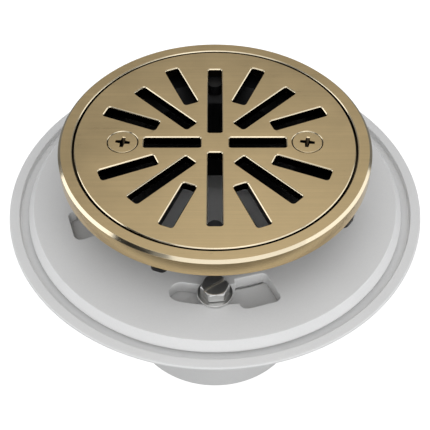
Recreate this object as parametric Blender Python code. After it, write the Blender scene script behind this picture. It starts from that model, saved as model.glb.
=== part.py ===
"""Round floor drain: a slotted brass grate and ring on a black threaded barrel.

The barrel screws through a white clamping collar, so the grate's height follows the floor.
The collar is bolted down to a white drain base, whose hub takes the waste pipe.
Heights are metres above the lower end of the hub, and the drain's axis is the Z axis.
"""

import math

import bmesh
import bpy
from mathutils import Matrix, Vector

MM = 0.001
GAP = 0.3 * MM  # left between pieces that touch on the real drain
SHARP_ANGLE = math.radians(35)

# Driving sizes of the brass ring and grate
RING_RADIUS = 54.0 * MM
RING_HEIGHT = 6.8 * MM
RING_WALL = 4.83 * MM
RING_CHAMFER = 1.0 * MM
PLATE_THICKNESS = 3.4 * MM
PLATE_CLEARANCE = 0.67 * MM
EDGE_BREAK = 0.3 * MM
LEDGE_WIDTH = 4.2 * MM
LEDGE_THICKNESS = 1.9 * MM
SLOT_WIDTH = 5.0 * MM
SLOT_CORNER = 0.8 * MM
SLOT_INNER = 4.9 * MM
SLOT_DIAGONAL_INNER = 11.5 * MM
SLOT_BETWEEN_INNER = 21.7 * MM
SLOT_MARGIN = 9.85 * MM  # from the outer end of a long slot to the plate's edge
SLOT_BETWEEN_MARGIN = 6.7 * MM
SLOT_TO_SCREW = 2.1 * MM

# Countersunk screws that hold the grate, and the inserts they turn in
SCREW_RADIUS = 2.2 * MM
SCREW_HEAD_RADIUS = 5.1 * MM
SCREW_HEAD_DEPTH = 2.6 * MM
SCREW_LENGTH = 12.7 * MM
SCREW_RECESS = 5.1 * MM
SCREW_RECESS_WIDTH = 1.1 * MM
SCREW_RECESS_DEPTH = 1.7 * MM
SCREW_RECESS_TURN = math.radians(-9)
SCREW_INSERT_WALL = 1.0 * MM
SCREW_INSERT_LENGTH = 8.0 * MM
BOSS_WALL = 1.4 * MM

# Small screws that hold the ring on the barrel's ears
EAR_SCREW_RADIUS = 1.1 * MM
EAR_SCREW_HEAD_RADIUS = 1.8 * MM
EAR_SCREW_HEAD_DEPTH = 0.9 * MM
EAR_SCREW_DEPTH = 4.0 * MM
EAR_WIDTH = 5.5 * MM
EAR_THICKNESS = 1.5 * MM
EAR_CORNER = 1.8 * MM
EAR_ANGLES = [math.radians(a) for a in (-110.0, -34.4, 70.0, 145.6)]

# Threaded barrel
THREAD_RADIUS = 36.5 * MM
THREAD_DEPTH = 1.5 * MM
THREAD_PITCH = 3.175 * MM
THREAD_CLEARANCE = 0.5 * MM
BARREL_WALL = 2.0 * MM
BARREL_LENGTH = 50.0 * MM  # from the ring's top to the barrel's lower end
NECK_WIDTH = 0.7 * MM
NECK_BOTTOM = 15.0 * MM
BARREL_FLANGE_THICKNESS = 2.5 * MM
FUNNEL_WIDTH = 5.5 * MM
FUNNEL_DEPTH = 5.1 * MM
REST_WIDTH = 5.2 * MM
REST_CLEARANCE = 0.97 * MM  # between a rest's outer end and the ring's ledge
REST_DEPTH = 0.8 * MM
REST_ANGLES = [math.radians(a) for a in (-90.0, 90.0)]
GASKET_THICKNESS = 0.7 * MM

# Clamping collar and its bolts
COLLAR_BELOW_RING = 26.0 * MM  # height setting of the barrel at rest
COLLAR_THICKNESS = 5.0 * MM
COLLAR_RIM_DROP = 3.4 * MM
COLLAR_RIM_WIDTH = 2.2 * MM
COLLAR_TUBE_WALL = 2.2 * MM
COLLAR_TUBE_LENGTH = 14.5 * MM
BOLT_COUNT = 4
BOLT_RADIUS = 3.0 * MM
BOLT_LENGTH = 17.0 * MM  # below the collar's top face
BOLT_ACROSS_FLATS = 8.7 * MM
BOLT_HEAD_HEIGHT = 3.6 * MM
BOLT_HEAD_TOP_RADIUS = 4.15 * MM
BOLT_SLOT_WIDTH = 1.2 * MM
BOLT_SLOT_DEPTH = 1.3 * MM
BOLT_HEX_TURN = math.radians(6)
BOLT_SLOT_TURN = math.radians(36)
WASHER_RADIUS = 5.95 * MM
WASHER_THICKNESS = 1.0 * MM
BOLT_INSERT_WALL = 0.7 * MM
BOLT_INSERT_LENGTH = 10.2 * MM
BOLT_INSERT_COVER = 2.0 * MM  # plastic between an insert's hole and the throat
KEYHOLE_CLEARANCE = 1.0 * MM
KEYHOLE_HEAD_IN = 0.15 * MM
KEYHOLE_HEAD_OUT = 0.75 * MM
KEYHOLE_CORNER = 2.3 * MM
KEYHOLE_NARROW_TURN = math.radians(-14.0)
KEYHOLE_WIDE_FROM = math.radians(9.4)
KEYHOLE_WIDE_TO = math.radians(25.1)
WEEP_WIDTH = 3.0 * MM
WEEP_DEPTH = 1.2 * MM
WEEP_REACH = 18.0 * MM
WEEP_SPREAD = math.radians(9)

# Drain base
FLANGE_RADIUS = 74.1 * MM
FLANGE_THICKNESS = 4.0 * MM
FLANGE_BAND = 3.7 * MM
FLANGE_LIP = 2.7 * MM  # height of the outer band above the clamping face
FLANGE_EDGE = 0.6 * MM
FLANGE_LAND = 0.2 * MM
RECESS_GAP = 3.1 * MM  # between the collar's rim and the outer band
THROAT_CLEARANCE = 0.8 * MM
THROAT_WALL = 4.2 * MM
THROAT_LENGTH = 15.7 * MM
LOWER_THROAT_CLEARANCE = 1.5 * MM
LOWER_THROAT_LENGTH = 13.0 * MM
THROAT_STEP = 2.0 * MM
CONE_LENGTH = 10.5 * MM
STOP_LENGTH = 1.7 * MM
STOP_WIDTH = 4.25 * MM
PIPE_RADIUS = 30.15 * MM  # outside of the waste pipe
PIPE_CLEARANCE = 0.3 * MM
SOCKET_DEPTH = 25.5 * MM
HUB_WALL = 3.05 * MM
HUB_CHAMFER = 0.8 * MM
RIB_COUNT = 8
RIB_THICKNESS = 3.0 * MM
RIB_HEIGHT = 11.0 * MM
RIB_MARGIN = 8.0 * MM

# Facets round each turned piece
FINE = 56
ROUND = 40
BOLT_FACETS = 24
SMALL = 16
TINY = 12

# Levels that follow from the driving sizes
CONE_BOTTOM = SOCKET_DEPTH + STOP_LENGTH
LOWER_THROAT_BOTTOM = CONE_BOTTOM + CONE_LENGTH
THROAT_BOTTOM = LOWER_THROAT_BOTTOM + LOWER_THROAT_LENGTH + THROAT_STEP
CLAMP_FACE = THROAT_BOTTOM + THROAT_LENGTH
FLANGE_TOP = CLAMP_FACE + FLANGE_LIP
FLANGE_UNDERSIDE = CLAMP_FACE - FLANGE_THICKNESS
COLLAR_TOP = CLAMP_FACE + GAP + COLLAR_THICKNESS
RING_TOP = COLLAR_TOP + COLLAR_BELOW_RING

# Radii that follow from the driving sizes
RING_BORE = RING_RADIUS - RING_WALL
PLATE_RADIUS = RING_BORE - PLATE_CLEARANCE
LEDGE_RADIUS = RING_BORE - LEDGE_WIDTH
REST_OUTER = LEDGE_RADIUS - REST_CLEARANCE
BARREL_FLANGE_RADIUS = RING_BORE - GAP
THREAD_ROOT = THREAD_RADIUS - THREAD_DEPTH
BARREL_BORE = THREAD_ROOT - BARREL_WALL
NECK_RADIUS = THREAD_RADIUS + NECK_WIDTH
COLLAR_BORE = THREAD_RADIUS + THREAD_CLEARANCE
COLLAR_TUBE_RADIUS = COLLAR_BORE + COLLAR_TUBE_WALL
THROAT_RADIUS = COLLAR_TUBE_RADIUS + THROAT_CLEARANCE
LOWER_THROAT_RADIUS = THREAD_RADIUS + LOWER_THROAT_CLEARANCE
SOCKET_RADIUS = PIPE_RADIUS + PIPE_CLEARANCE
STOP_RADIUS = SOCKET_RADIUS - STOP_WIDTH
HUB_RADIUS = SOCKET_RADIUS + HUB_WALL
RECESS_RADIUS = FLANGE_RADIUS - FLANGE_BAND
COLLAR_RADIUS = RECESS_RADIUS - RECESS_GAP
BOLT_HOLE_RADIUS = BOLT_RADIUS + GAP
BOLT_INSERT_RADIUS = BOLT_HOLE_RADIUS + BOLT_INSERT_WALL
BOLT_POCKET_RADIUS = BOLT_INSERT_RADIUS + GAP
BOLT_CIRCLE = THROAT_RADIUS + BOLT_INSERT_COVER + BOLT_POCKET_RADIUS
SCREW_BORE = SCREW_RADIUS + GAP
SCREW_INSERT_RADIUS = SCREW_BORE + SCREW_INSERT_WALL
SCREW_POCKET_RADIUS = SCREW_INSERT_RADIUS + GAP
BOSS_RADIUS = SCREW_POCKET_RADIUS + BOSS_WALL
SCREW_CIRCLE = NECK_RADIUS - BOSS_RADIUS - 0.2 * MM
EAR_HOLE_RADIUS = EAR_SCREW_RADIUS + GAP
EAR_SCREW_CIRCLE = RING_RADIUS - RING_WALL / 2

# Depths below the ring's top, where the grate, ring and barrel are drawn from
LEDGE_TOP = -(PLATE_THICKNESS + GAP)
LEDGE_BOTTOM = LEDGE_TOP - LEDGE_THICKNESS
GASKET_TOP = LEDGE_BOTTOM - GAP
BARREL_FLANGE_TOP = GASKET_TOP - GASKET_THICKNESS - GAP
BARREL_FLANGE_BOTTOM = BARREL_FLANGE_TOP - BARREL_FLANGE_THICKNESS
EAR_TOP = -(RING_HEIGHT + GAP)
EAR_BOTTOM = EAR_TOP - EAR_THICKNESS

BRASS = ("brushed_brass", (0.53, 0.41, 0.23), 1.0, 0.32)
BRASS_PLAIN = ("insert_brass", (0.62, 0.47, 0.20), 1.0, 0.40)
STEEL = ("bolt_steel", (0.48, 0.48, 0.47), 1.0, 0.28)
BLACK_STEEL = ("black_screw", (0.02, 0.02, 0.02), 0.8, 0.45)
BLACK_PLASTIC = ("black_abs", (0.012, 0.012, 0.013), 0.0, 0.38)
RUBBER = ("gasket_rubber", (0.02, 0.02, 0.02), 0.0, 0.75)
WHITE_PLASTIC = ("white_pvc", (0.62, 0.62, 0.62), 0.0, 0.42)


# ---------------------------------------------------------------- building blocks


def clear_scene():
    """Removes every object of the scene the script starts in."""
    for old in list(bpy.data.objects):
        bpy.data.objects.remove(old, do_unlink=True)


def material(finish):
    """The material of a finish, made once."""
    name, colour, metallic, roughness = finish
    found = bpy.data.materials.get(name)
    if found:
        return found
    made = bpy.data.materials.new(name)
    made.use_nodes = True
    shader = made.node_tree.nodes["Principled BSDF"]
    shader.inputs["Base Color"].default_value = (*colour, 1.0)
    shader.inputs["Metallic"].default_value = metallic
    shader.inputs["Roughness"].default_value = roughness
    return made


def to_object(bm, name, finish, place=(0, 0, 0), parent=None):
    """Turns a bmesh into a named, smooth-shaded object at its place under a parent."""
    bmesh.ops.recalc_face_normals(bm, faces=bm.faces[:])
    mesh = bpy.data.meshes.new(name)
    bm.to_mesh(mesh)
    bm.free()
    return place_mesh(mesh, name, finish, place, parent)


def place_mesh(mesh, name, finish, place=(0, 0, 0), parent=None):
    """Adds an object for a mesh, which other objects may share."""
    mesh.shade_smooth()
    mesh.set_sharp_from_angle(angle=SHARP_ANGLE)
    if not mesh.materials:
        mesh.materials.append(material(finish))
    made = bpy.data.objects.new(name, mesh)
    bpy.context.scene.collection.objects.link(made)
    made.location = place
    made.parent = parent
    return made


def level(name, height, parent=None):
    """An empty on the drain's axis that a sub-assembly is placed by."""
    made = bpy.data.objects.new(name, None)
    bpy.context.scene.collection.objects.link(made)
    made.location = (0, 0, height)
    made.parent = parent
    return made


def boolean(target, bm, name, operation):
    """Adds an EXACT Boolean of a helper body that isn't itself a piece of the drain."""
    bmesh.ops.recalc_face_normals(bm, faces=bm.faces[:])
    mesh = bpy.data.meshes.new(name)
    bm.to_mesh(mesh)
    bm.free()
    helper = bpy.data.objects.new(name, mesh)
    bpy.context.scene.collection.objects.link(helper)
    helper.location = target.location
    helper.parent = target.parent
    helper.hide_render = True
    helper.display_type = "WIRE"
    modifier = target.modifiers.new(name, "BOOLEAN")
    modifier.operation = operation
    modifier.solver = "EXACT"
    modifier.object = helper


def polar(radius, angle, height=0.0):
    """The point at a radius, an angle about the axis and a height."""
    return Vector((radius * math.cos(angle), radius * math.sin(angle), height))


def ring_of(bm, radius, height, segments, centre=(0, 0)):
    """Adds a circle of vertices. The radius may be a function of the angle."""
    found = []
    for i in range(segments):
        angle = 2 * math.pi * i / segments
        reach = radius(angle) if callable(radius) else radius
        rise = height(angle) if callable(height) else height
        found.append(bm.verts.new(polar(reach, angle, rise) + Vector((*centre, 0))))
    return found


def bridge(bm, first, second):
    """Joins two rings with the same number of vertices by four-sided faces."""
    count = len(first)
    for i in range(count):
        after = (i + 1) % count
        bm.faces.new((first[i], first[after], second[after], second[i]))


def turned_ring(bm, outline, segments, centre=(0, 0)):
    """Adds a turned body with a hole, from a closed outline of (radius, height)."""
    rings = [ring_of(bm, r, z, segments, centre) for r, z in outline]
    for first, second in zip(rings, rings[1:] + rings[:1]):
        bridge(bm, first, second)


def turned_solid(bm, outline, segments, centre=(0, 0)):
    """Adds a turned body without a hole: the outline's two ends are closed by flat faces."""
    rings = [ring_of(bm, r, z, segments, centre) for r, z in outline]
    for first, second in zip(rings, rings[1:]):
        bridge(bm, first, second)
    bm.faces.new(rings[0])
    bm.faces.new(rings[-1])


def prism(bm, outline, low, high):
    """Adds an upright prism over a closed outline of (x, y) points."""
    bottom = [bm.verts.new((x, y, low)) for x, y in outline]
    top = [bm.verts.new((x, y, high)) for x, y in outline]
    bridge(bm, bottom, top)
    bm.faces.new(bottom)
    bm.faces.new(top)


def rounded_outline(corners, steps=3):
    """Points round a convex-cornered outline of (x, y, corner radius), each corner an arc."""
    points = []
    count = len(corners)
    for i, (x, y, radius) in enumerate(corners):
        here = Vector((x, y))
        before = (Vector(corners[i - 1][:2]) - here).normalized()
        after = (Vector(corners[(i + 1) % count][:2]) - here).normalized()
        if radius <= 0:
            points.append((here.x, here.y))
            continue
        half = before.angle(after) / 2
        centre = here + (before + after).normalized() * radius / math.sin(half)
        start = here + before * radius / math.tan(half)
        end = here + after * radius / math.tan(half)
        for step in range(steps + 1):
            arm = (start - centre).slerp(end - centre, step / steps)
            points.append(tuple(centre + arm.normalized() * radius))
    return points


def turned_to(points, angle, centre=(0, 0)):
    """The (x, y) points turned about the axis and moved to a centre."""
    cos, sin = math.cos(angle), math.sin(angle)
    return [(x * cos - y * sin + centre[0], x * sin + y * cos + centre[1]) for x, y in points]


def threaded_skin(bm, low_ring, high_ring, base, crest, pitch, start, turns):
    """Joins two rings by a helical V thread whose rows rise one pitch a turn.

    base is the radius that the thread stands on and crest the radius of its ridge, so an
    internal thread has a crest smaller than its base. The ridge fades out at both ends.
    """
    count = len(low_ring)
    rows = 2 * turns
    last = turns + 1.0

    def vertex(row, i):
        travelled = row / 2 + i / count
        fade = max(0.0, min(1.0, travelled - 1.0, last - 1.0 - travelled))
        reach = base + (crest - base) * fade * (row % 2)
        return bm.verts.new(polar(reach, 2 * math.pi * i / count, start + travelled * pitch))

    grid = [[vertex(row, i) for i in range(count)] for row in range(rows + 1)]
    grid += [[vertex(rows + 1, 0)], [vertex(rows + 2, 0)]]

    def at(row, i):
        return grid[row + 2][0] if i == count else grid[row][i]

    for row in range(rows):
        for i in range(count):
            bm.faces.new((at(row, i), at(row, i + 1), at(row + 1, i + 1), at(row + 1, i)))
    end = count - 1
    for i in range(end):
        bm.faces.new((low_ring[i], low_ring[i + 1], at(0, i + 1), at(0, i)))
    bm.faces.new((low_ring[end], low_ring[0], at(0, 0), at(1, 0), at(2, 0), at(0, end)))
    for i in range(1, count):
        above = high_ring[(i + 1) % count]
        bm.faces.new((at(rows, i), at(rows, i + 1), above, high_ring[i]))
    step = (grid[rows + 2][0], grid[rows + 1][0])
    bm.faces.new((at(rows, 0), at(rows, 1), high_ring[1], high_ring[0], *step))


def thread_start(lowest, datum):
    """The first height at or above lowest that lies a whole number of pitches from datum."""
    return lowest + (datum - lowest) % THREAD_PITCH


# ---------------------------------------------------------------- grate


def slot_places():
    """(angle, inner radius, outer radius) of each of the sixteen slots."""
    long_outer = PLATE_RADIUS - SLOT_MARGIN
    short_outer = SCREW_CIRCLE - SCREW_HEAD_RADIUS - SLOT_TO_SCREW
    places = []
    for k in range(16):
        angle = k * math.pi / 8
        if k % 8 == 0:
            places.append((angle, SLOT_INNER, short_outer))
        elif k % 4 == 0:
            places.append((angle, SLOT_INNER, long_outer))
        elif k % 2 == 0:
            places.append((angle, SLOT_DIAGONAL_INNER, long_outer))
        else:
            places.append((angle, SLOT_BETWEEN_INNER, PLATE_RADIUS - SLOT_BETWEEN_MARGIN))
    return places


def slot_loop(bm, place, grow, height):
    """The vertices round one slot, grown by the edge break at the top face."""
    angle, inner, outer = place
    half = SLOT_WIDTH / 2 + grow
    corner = SLOT_CORNER + grow
    corners = [(inner - grow, -half, corner), (outer + grow, -half, corner)]
    corners += [(outer + grow, half, corner), (inner - grow, half, corner)]
    outline = turned_to(rounded_outline(corners), angle)
    return [bm.verts.new((x, y, height)) for x, y in outline]


def fill_flat(bm, loops):
    """Fills the flat area inside the first loop and outside the others."""
    edges = [bm.edges.get(pair) for loop in loops for pair in zip(loop, loop[1:] + loop[:1])]
    bmesh.ops.triangle_fill(bm, edges=edges, use_beauty=True, normal=(0, 0, 1))


def screw_centres():
    """The two grate screws lie left and right of the middle."""
    return {"right": (SCREW_CIRCLE, 0.0), "left": (-SCREW_CIRCLE, 0.0)}


def grate_walls(bm):
    """Walls of the plate's edge, slots and screw holes, as (their top loops, their bottom loops)."""
    bottom = -PLATE_THICKNESS
    rim = [(PLATE_RADIUS, bottom), (PLATE_RADIUS, -EDGE_BREAK), (PLATE_RADIUS - EDGE_BREAK, 0)]
    stacks = [[ring_of(bm, r, z, FINE) for r, z in rim]]
    for place in slot_places():
        levels = [(0, bottom), (0, -EDGE_BREAK), (EDGE_BREAK, 0)]
        stacks.append([slot_loop(bm, place, grow, z) for grow, z in levels])
    hole = SCREW_BORE
    seat = SCREW_HEAD_RADIUS + GAP
    for centre in screw_centres().values():
        levels = [(hole, bottom), (hole, -SCREW_HEAD_DEPTH - GAP), (seat, -GAP), (seat, 0)]
        stacks.append([ring_of(bm, r, z, SMALL, centre) for r, z in levels])
    for stack in stacks:
        for first, second in zip(stack, stack[1:]):
            bridge(bm, first, second)
    return [stack[-1] for stack in stacks], [stack[0] for stack in stacks]


def make_grate(parent):
    """Round brass plate with sixteen slots and two countersunk holes."""
    bm = bmesh.new()
    for loops in grate_walls(bm):
        fill_flat(bm, loops)
    to_object(bm, "grate_plate", BRASS, parent=parent)


def cross_outline(across, width):
    """The twelve points of a cross recess."""
    a, b = across / 2, width / 2
    quarter = [(a, -b), (a, b), (b, b)]
    points = []
    for turn in range(4):
        points += turned_to(quarter, turn * math.pi / 2)
    return points


def countersunk_screw(name, facets, sizes, recess):
    """Mesh of a countersunk cross-recess screw, its head face up at height zero."""
    radius, head_radius, head_depth, length = sizes
    bm = bmesh.new()
    outline = [(radius * 0.6, -length), (radius, -length + radius * 0.6)]
    outline += [(radius, -head_depth), (head_radius, -EDGE_BREAK / 2), (head_radius, 0)]
    turned_solid(bm, outline, facets)
    screw = to_object(bm, name, BRASS)
    across, width, depth, turn = recess
    cutter = bmesh.new()
    cross = turned_to(cross_outline(across, width), turn)
    small = [(x * 0.55, y * 0.55) for x, y in cross]
    floor = [cutter.verts.new((x, y, -depth)) for x, y in small]
    mouth = [cutter.verts.new((x, y, 0.2 * MM)) for x, y in cross]
    bridge(cutter, floor, mouth)
    cutter.faces.new(floor)
    cutter.faces.new(mouth)
    boolean(screw, cutter, name + "_recess", "DIFFERENCE")
    return baked(screw)


def baked(source):
    """The mesh of an object with its modifiers applied. The object and its helpers go."""
    bpy.context.view_layer.update()
    graph = bpy.context.evaluated_depsgraph_get()
    mesh = bpy.data.meshes.new_from_object(source.evaluated_get(graph), depsgraph=graph)
    helpers = [modifier.object for modifier in source.modifiers]
    for old in [source, *helpers]:
        bpy.data.objects.remove(old, do_unlink=True)
    return mesh


def make_grate_screws(parent):
    """Two brass screws with their heads flush in the grate."""
    recess = (SCREW_RECESS, SCREW_RECESS_WIDTH, SCREW_RECESS_DEPTH, SCREW_RECESS_TURN)
    sizes = (SCREW_RADIUS, SCREW_HEAD_RADIUS, SCREW_HEAD_DEPTH, SCREW_LENGTH)
    mesh = countersunk_screw("grate_screw", SMALL, sizes, recess)
    for side, (x, y) in screw_centres().items():
        place_mesh(mesh, "grate_screw_" + side, BRASS, (x, y, 0), parent)


def make_screw_inserts(parent):
    """Two brass inserts in the barrel's bosses."""
    top = LEDGE_TOP - 2 * GAP
    bottom = top - SCREW_INSERT_LENGTH
    for side, (x, y) in screw_centres().items():
        bm = bmesh.new()
        outline = [(SCREW_INSERT_RADIUS, bottom), (SCREW_INSERT_RADIUS, top)]
        outline += [(SCREW_BORE, top), (SCREW_BORE, bottom)]
        turned_ring(bm, outline, TINY)
        to_object(bm, "screw_insert_" + side, BRASS_PLAIN, (x, y, 0), parent)


# ---------------------------------------------------------------- ring and barrel


def make_ring(parent):
    """Brass ring with a ledge for the grate and four blind holes in its lower edge."""
    bm = bmesh.new()
    outline = [
        (RING_BORE, LEDGE_TOP),
        (RING_BORE, -EDGE_BREAK),
        (RING_BORE + EDGE_BREAK, 0),
        (RING_RADIUS - RING_CHAMFER, 0),
        (RING_RADIUS, -RING_CHAMFER),
        (RING_RADIUS, -RING_HEIGHT),
        (RING_BORE, -RING_HEIGHT),
        (RING_BORE, LEDGE_BOTTOM),
        (LEDGE_RADIUS, LEDGE_BOTTOM),
        (LEDGE_RADIUS, LEDGE_TOP),
    ]
    turned_ring(bm, outline, FINE)
    ring = to_object(bm, "strainer_ring", BRASS, parent=parent)
    holes = bmesh.new()
    top = EAR_BOTTOM + EAR_SCREW_HEAD_DEPTH + EAR_SCREW_DEPTH + 2 * GAP
    for angle in EAR_ANGLES:
        centre = polar(EAR_SCREW_CIRCLE, angle)
        outline = [(EAR_HOLE_RADIUS, -RING_HEIGHT - MM), (EAR_HOLE_RADIUS, top)]
        turned_solid(holes, outline, TINY, centre.xy)
    boolean(ring, holes, "ring_screw_holes", "DIFFERENCE")


def make_ring_screws(parent):
    """Four small black screws that hold the ring down on the barrel's ears."""
    length = EAR_SCREW_HEAD_DEPTH + EAR_SCREW_DEPTH
    recess = (EAR_SCREW_HEAD_RADIUS * 1.1, EAR_SCREW_RADIUS * 0.6, EAR_SCREW_HEAD_DEPTH * 0.6, 0.0)
    sizes = (EAR_SCREW_RADIUS, EAR_SCREW_HEAD_RADIUS, EAR_SCREW_HEAD_DEPTH, length)
    mesh = countersunk_screw("ring_screw", TINY, sizes, recess)
    mesh.materials.clear()
    mesh.transform(Matrix.Rotation(math.pi, 4, "X"))
    for number, angle in enumerate(EAR_ANGLES, start=1):
        place = polar(EAR_SCREW_CIRCLE, angle, EAR_BOTTOM)
        place_mesh(mesh, f"ring_screw_{number}", BLACK_STEEL, place, parent)


def make_gasket(parent):
    """Flat rubber ring between the ring's ledge and the barrel's flange."""
    bm = bmesh.new()
    inner = LEDGE_RADIUS + GAP
    outer = BARREL_FLANGE_RADIUS
    low = GASKET_TOP - GASKET_THICKNESS
    turned_ring(bm, [(inner, low), (outer, low), (outer, GASKET_TOP), (inner, GASKET_TOP)], ROUND)
    to_object(bm, "ring_gasket", RUBBER, parent=parent)


def barrel_thread_datum():
    """Height of a root of the barrel's thread at angle zero, below the ring's top."""
    return -BARREL_LENGTH + 2.0 * MM


def barrel_body(bm):
    """Flanged tube with a funnel mouth, turned, and an external thread."""
    mouth = BARREL_BORE + FUNNEL_WIDTH
    bottom = -BARREL_LENGTH
    outline = [
        (THREAD_ROOT, bottom + MM),
        (THREAD_ROOT - MM, bottom),
        (BARREL_BORE, bottom),
        (BARREL_BORE, BARREL_FLANGE_TOP - FUNNEL_DEPTH),
        (mouth, BARREL_FLANGE_TOP),
        (BARREL_FLANGE_RADIUS, BARREL_FLANGE_TOP),
        (BARREL_FLANGE_RADIUS, BARREL_FLANGE_BOTTOM),
        (NECK_RADIUS, BARREL_FLANGE_BOTTOM),
        (NECK_RADIUS, -NECK_BOTTOM),
        (THREAD_ROOT, -NECK_BOTTOM),
    ]
    rings = [ring_of(bm, r, z, ROUND) for r, z in outline]
    for first, second in zip(rings, rings[1:]):
        bridge(bm, first, second)
    start = barrel_thread_datum()
    turns = math.floor((-NECK_BOTTOM - start) / THREAD_PITCH) - 1
    sizes = (THREAD_ROOT, THREAD_RADIUS, THREAD_PITCH, start, turns)
    threaded_skin(bm, rings[0], rings[-1], *sizes)


def barrel_additions(bm):
    """Screw bosses, the two rests under the grate and the four ears under the ring."""
    boss_bottom = -NECK_BOTTOM + 0.4 * MM
    for centre in screw_centres().values():
        turned_solid(bm, [(BOSS_RADIUS, boss_bottom), (BOSS_RADIUS, LEDGE_TOP)], SMALL, centre)
    half = REST_WIDTH / 2
    corners = [(BARREL_BORE, -half, half * 0.98), (REST_OUTER, -half, 0)]
    corners += [(REST_OUTER, half, 0), (BARREL_BORE, half, half * 0.98)]
    for angle in REST_ANGLES:
        outline = turned_to(rounded_outline(corners, 5), angle)
        prism(bm, outline, BARREL_FLANGE_TOP - REST_DEPTH, LEDGE_TOP)
    half = EAR_WIDTH / 2
    inner = BARREL_FLANGE_RADIUS - 2 * MM
    corners = [(inner, -half, 0), (RING_RADIUS, -half, EAR_CORNER)]
    corners += [(RING_RADIUS, half, EAR_CORNER), (inner, half, 0)]
    for angle in EAR_ANGLES:
        prism(bm, turned_to(rounded_outline(corners), angle), EAR_BOTTOM, EAR_TOP)


def barrel_holes(bm):
    """Pockets for the inserts, and countersunk holes in the ears."""
    pocket_bottom = -SCREW_LENGTH - 3 * GAP
    for centre in screw_centres().values():
        outline = [(SCREW_POCKET_RADIUS, pocket_bottom), (SCREW_POCKET_RADIUS, LEDGE_TOP + MM)]
        turned_solid(bm, outline, SMALL, centre)
    seat = EAR_SCREW_HEAD_RADIUS + GAP
    for angle in EAR_ANGLES:
        centre = polar(EAR_SCREW_CIRCLE, angle)
        outline = [(seat, EAR_BOTTOM - MM), (seat, EAR_BOTTOM + EDGE_BREAK / 2)]
        outline += [(EAR_HOLE_RADIUS, EAR_BOTTOM + EAR_SCREW_HEAD_DEPTH + GAP / 2)]
        outline += [(EAR_HOLE_RADIUS, EAR_TOP + MM)]
        turned_solid(bm, outline, TINY, centre.xy)


def make_barrel(parent):
    """Black barrel that carries the ring and grate and screws into the collar."""
    bm = bmesh.new()
    barrel_body(bm)
    barrel = to_object(bm, "threaded_barrel", BLACK_PLASTIC, parent=parent)
    additions = bmesh.new()
    barrel_additions(additions)
    boolean(barrel, additions, "barrel_additions", "UNION")
    holes = bmesh.new()
    barrel_holes(holes)
    boolean(barrel, holes, "barrel_holes", "DIFFERENCE")


# ---------------------------------------------------------------- collar


def bolt_angles():
    """The clamping bolts stand at equal spacing, one of them at the front."""
    return [-math.pi / 2 + 2 * math.pi * i / BOLT_COUNT for i in range(BOLT_COUNT)]


def keyhole_outline(angle):
    """A curved slot round the bolt circle with a wide end that a bolt's head passes through."""
    narrow = BOLT_RADIUS + KEYHOLE_CLEARANCE
    inner = -(WASHER_RADIUS + KEYHOLE_HEAD_IN)
    outer = WASHER_RADIUS + KEYHOLE_HEAD_OUT
    tail = KEYHOLE_NARROW_TURN * BOLT_CIRCLE
    start, end = KEYHOLE_WIDE_FROM * BOLT_CIRCLE, KEYHOLE_WIDE_TO * BOLT_CIRCLE
    corner = KEYHOLE_CORNER
    wide = [(start, inner, 0), (end, inner, corner), (end, outer, corner), (start, outer, corner)]
    wide += [(start, narrow, 0), (start, -narrow, 0)]
    points = rounded_outline(wide)
    flat = [points[-1], *points[:-1]]
    steps = 5
    edge = [(start + (tail - start) * i / steps, narrow) for i in range(1, steps + 1)]
    cap = [(tail - narrow * math.sin(a), narrow * math.cos(a)) for a in arc_steps(8)]
    back = [(tail + (start - tail) * i / steps, -narrow) for i in range(steps)]
    local = flat + edge + cap + back
    around = [polar(BOLT_CIRCLE + q, angle + s / BOLT_CIRCLE) for s, q in local]
    return [(p.x, p.y) for p in around]


def arc_steps(count):
    """Angles strictly between nothing and a half turn."""
    return [math.pi * i / count for i in range(1, count)]


def collar_body(bm):
    """Collar plate with a sloped rim, a tube below it, turned, and an internal thread."""
    bottom = -COLLAR_THICKNESS
    tube_end = bottom - COLLAR_TUBE_LENGTH
    rim = COLLAR_RADIUS - COLLAR_RIM_WIDTH
    bevel = 0.6 * MM
    outline = [
        (COLLAR_BORE, -bevel),
        (COLLAR_BORE + bevel, 0),
        (rim, 0),
        (COLLAR_RADIUS, -COLLAR_RIM_DROP),
        (COLLAR_RADIUS, bottom),
        (COLLAR_TUBE_RADIUS, bottom),
        (COLLAR_TUBE_RADIUS, tube_end + bevel),
        (COLLAR_TUBE_RADIUS - bevel, tube_end),
        (COLLAR_BORE + bevel, tube_end),
        (COLLAR_BORE, tube_end + bevel),
    ]
    rings = [ring_of(bm, r, z, FINE) for r, z in outline]
    for first, second in zip(rings, rings[1:]):
        bridge(bm, first, second)
    half_pitch = THREAD_PITCH / 2
    datum = COLLAR_BELOW_RING + barrel_thread_datum() + half_pitch
    start = thread_start(tube_end + bevel + 0.2 * MM, datum)
    turns = math.floor((-bevel - 0.2 * MM - start) / THREAD_PITCH) - 1
    crest = THREAD_ROOT + THREAD_CLEARANCE
    sizes = (COLLAR_BORE, crest, THREAD_PITCH, start, turns)
    threaded_skin(bm, rings[-1], rings[0], *sizes)


def collar_cuts(bm):
    """Keyholes for the bolts, through the plate."""
    for angle in bolt_angles():
        prism(bm, keyhole_outline(angle), -COLLAR_THICKNESS - MM, MM)


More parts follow.
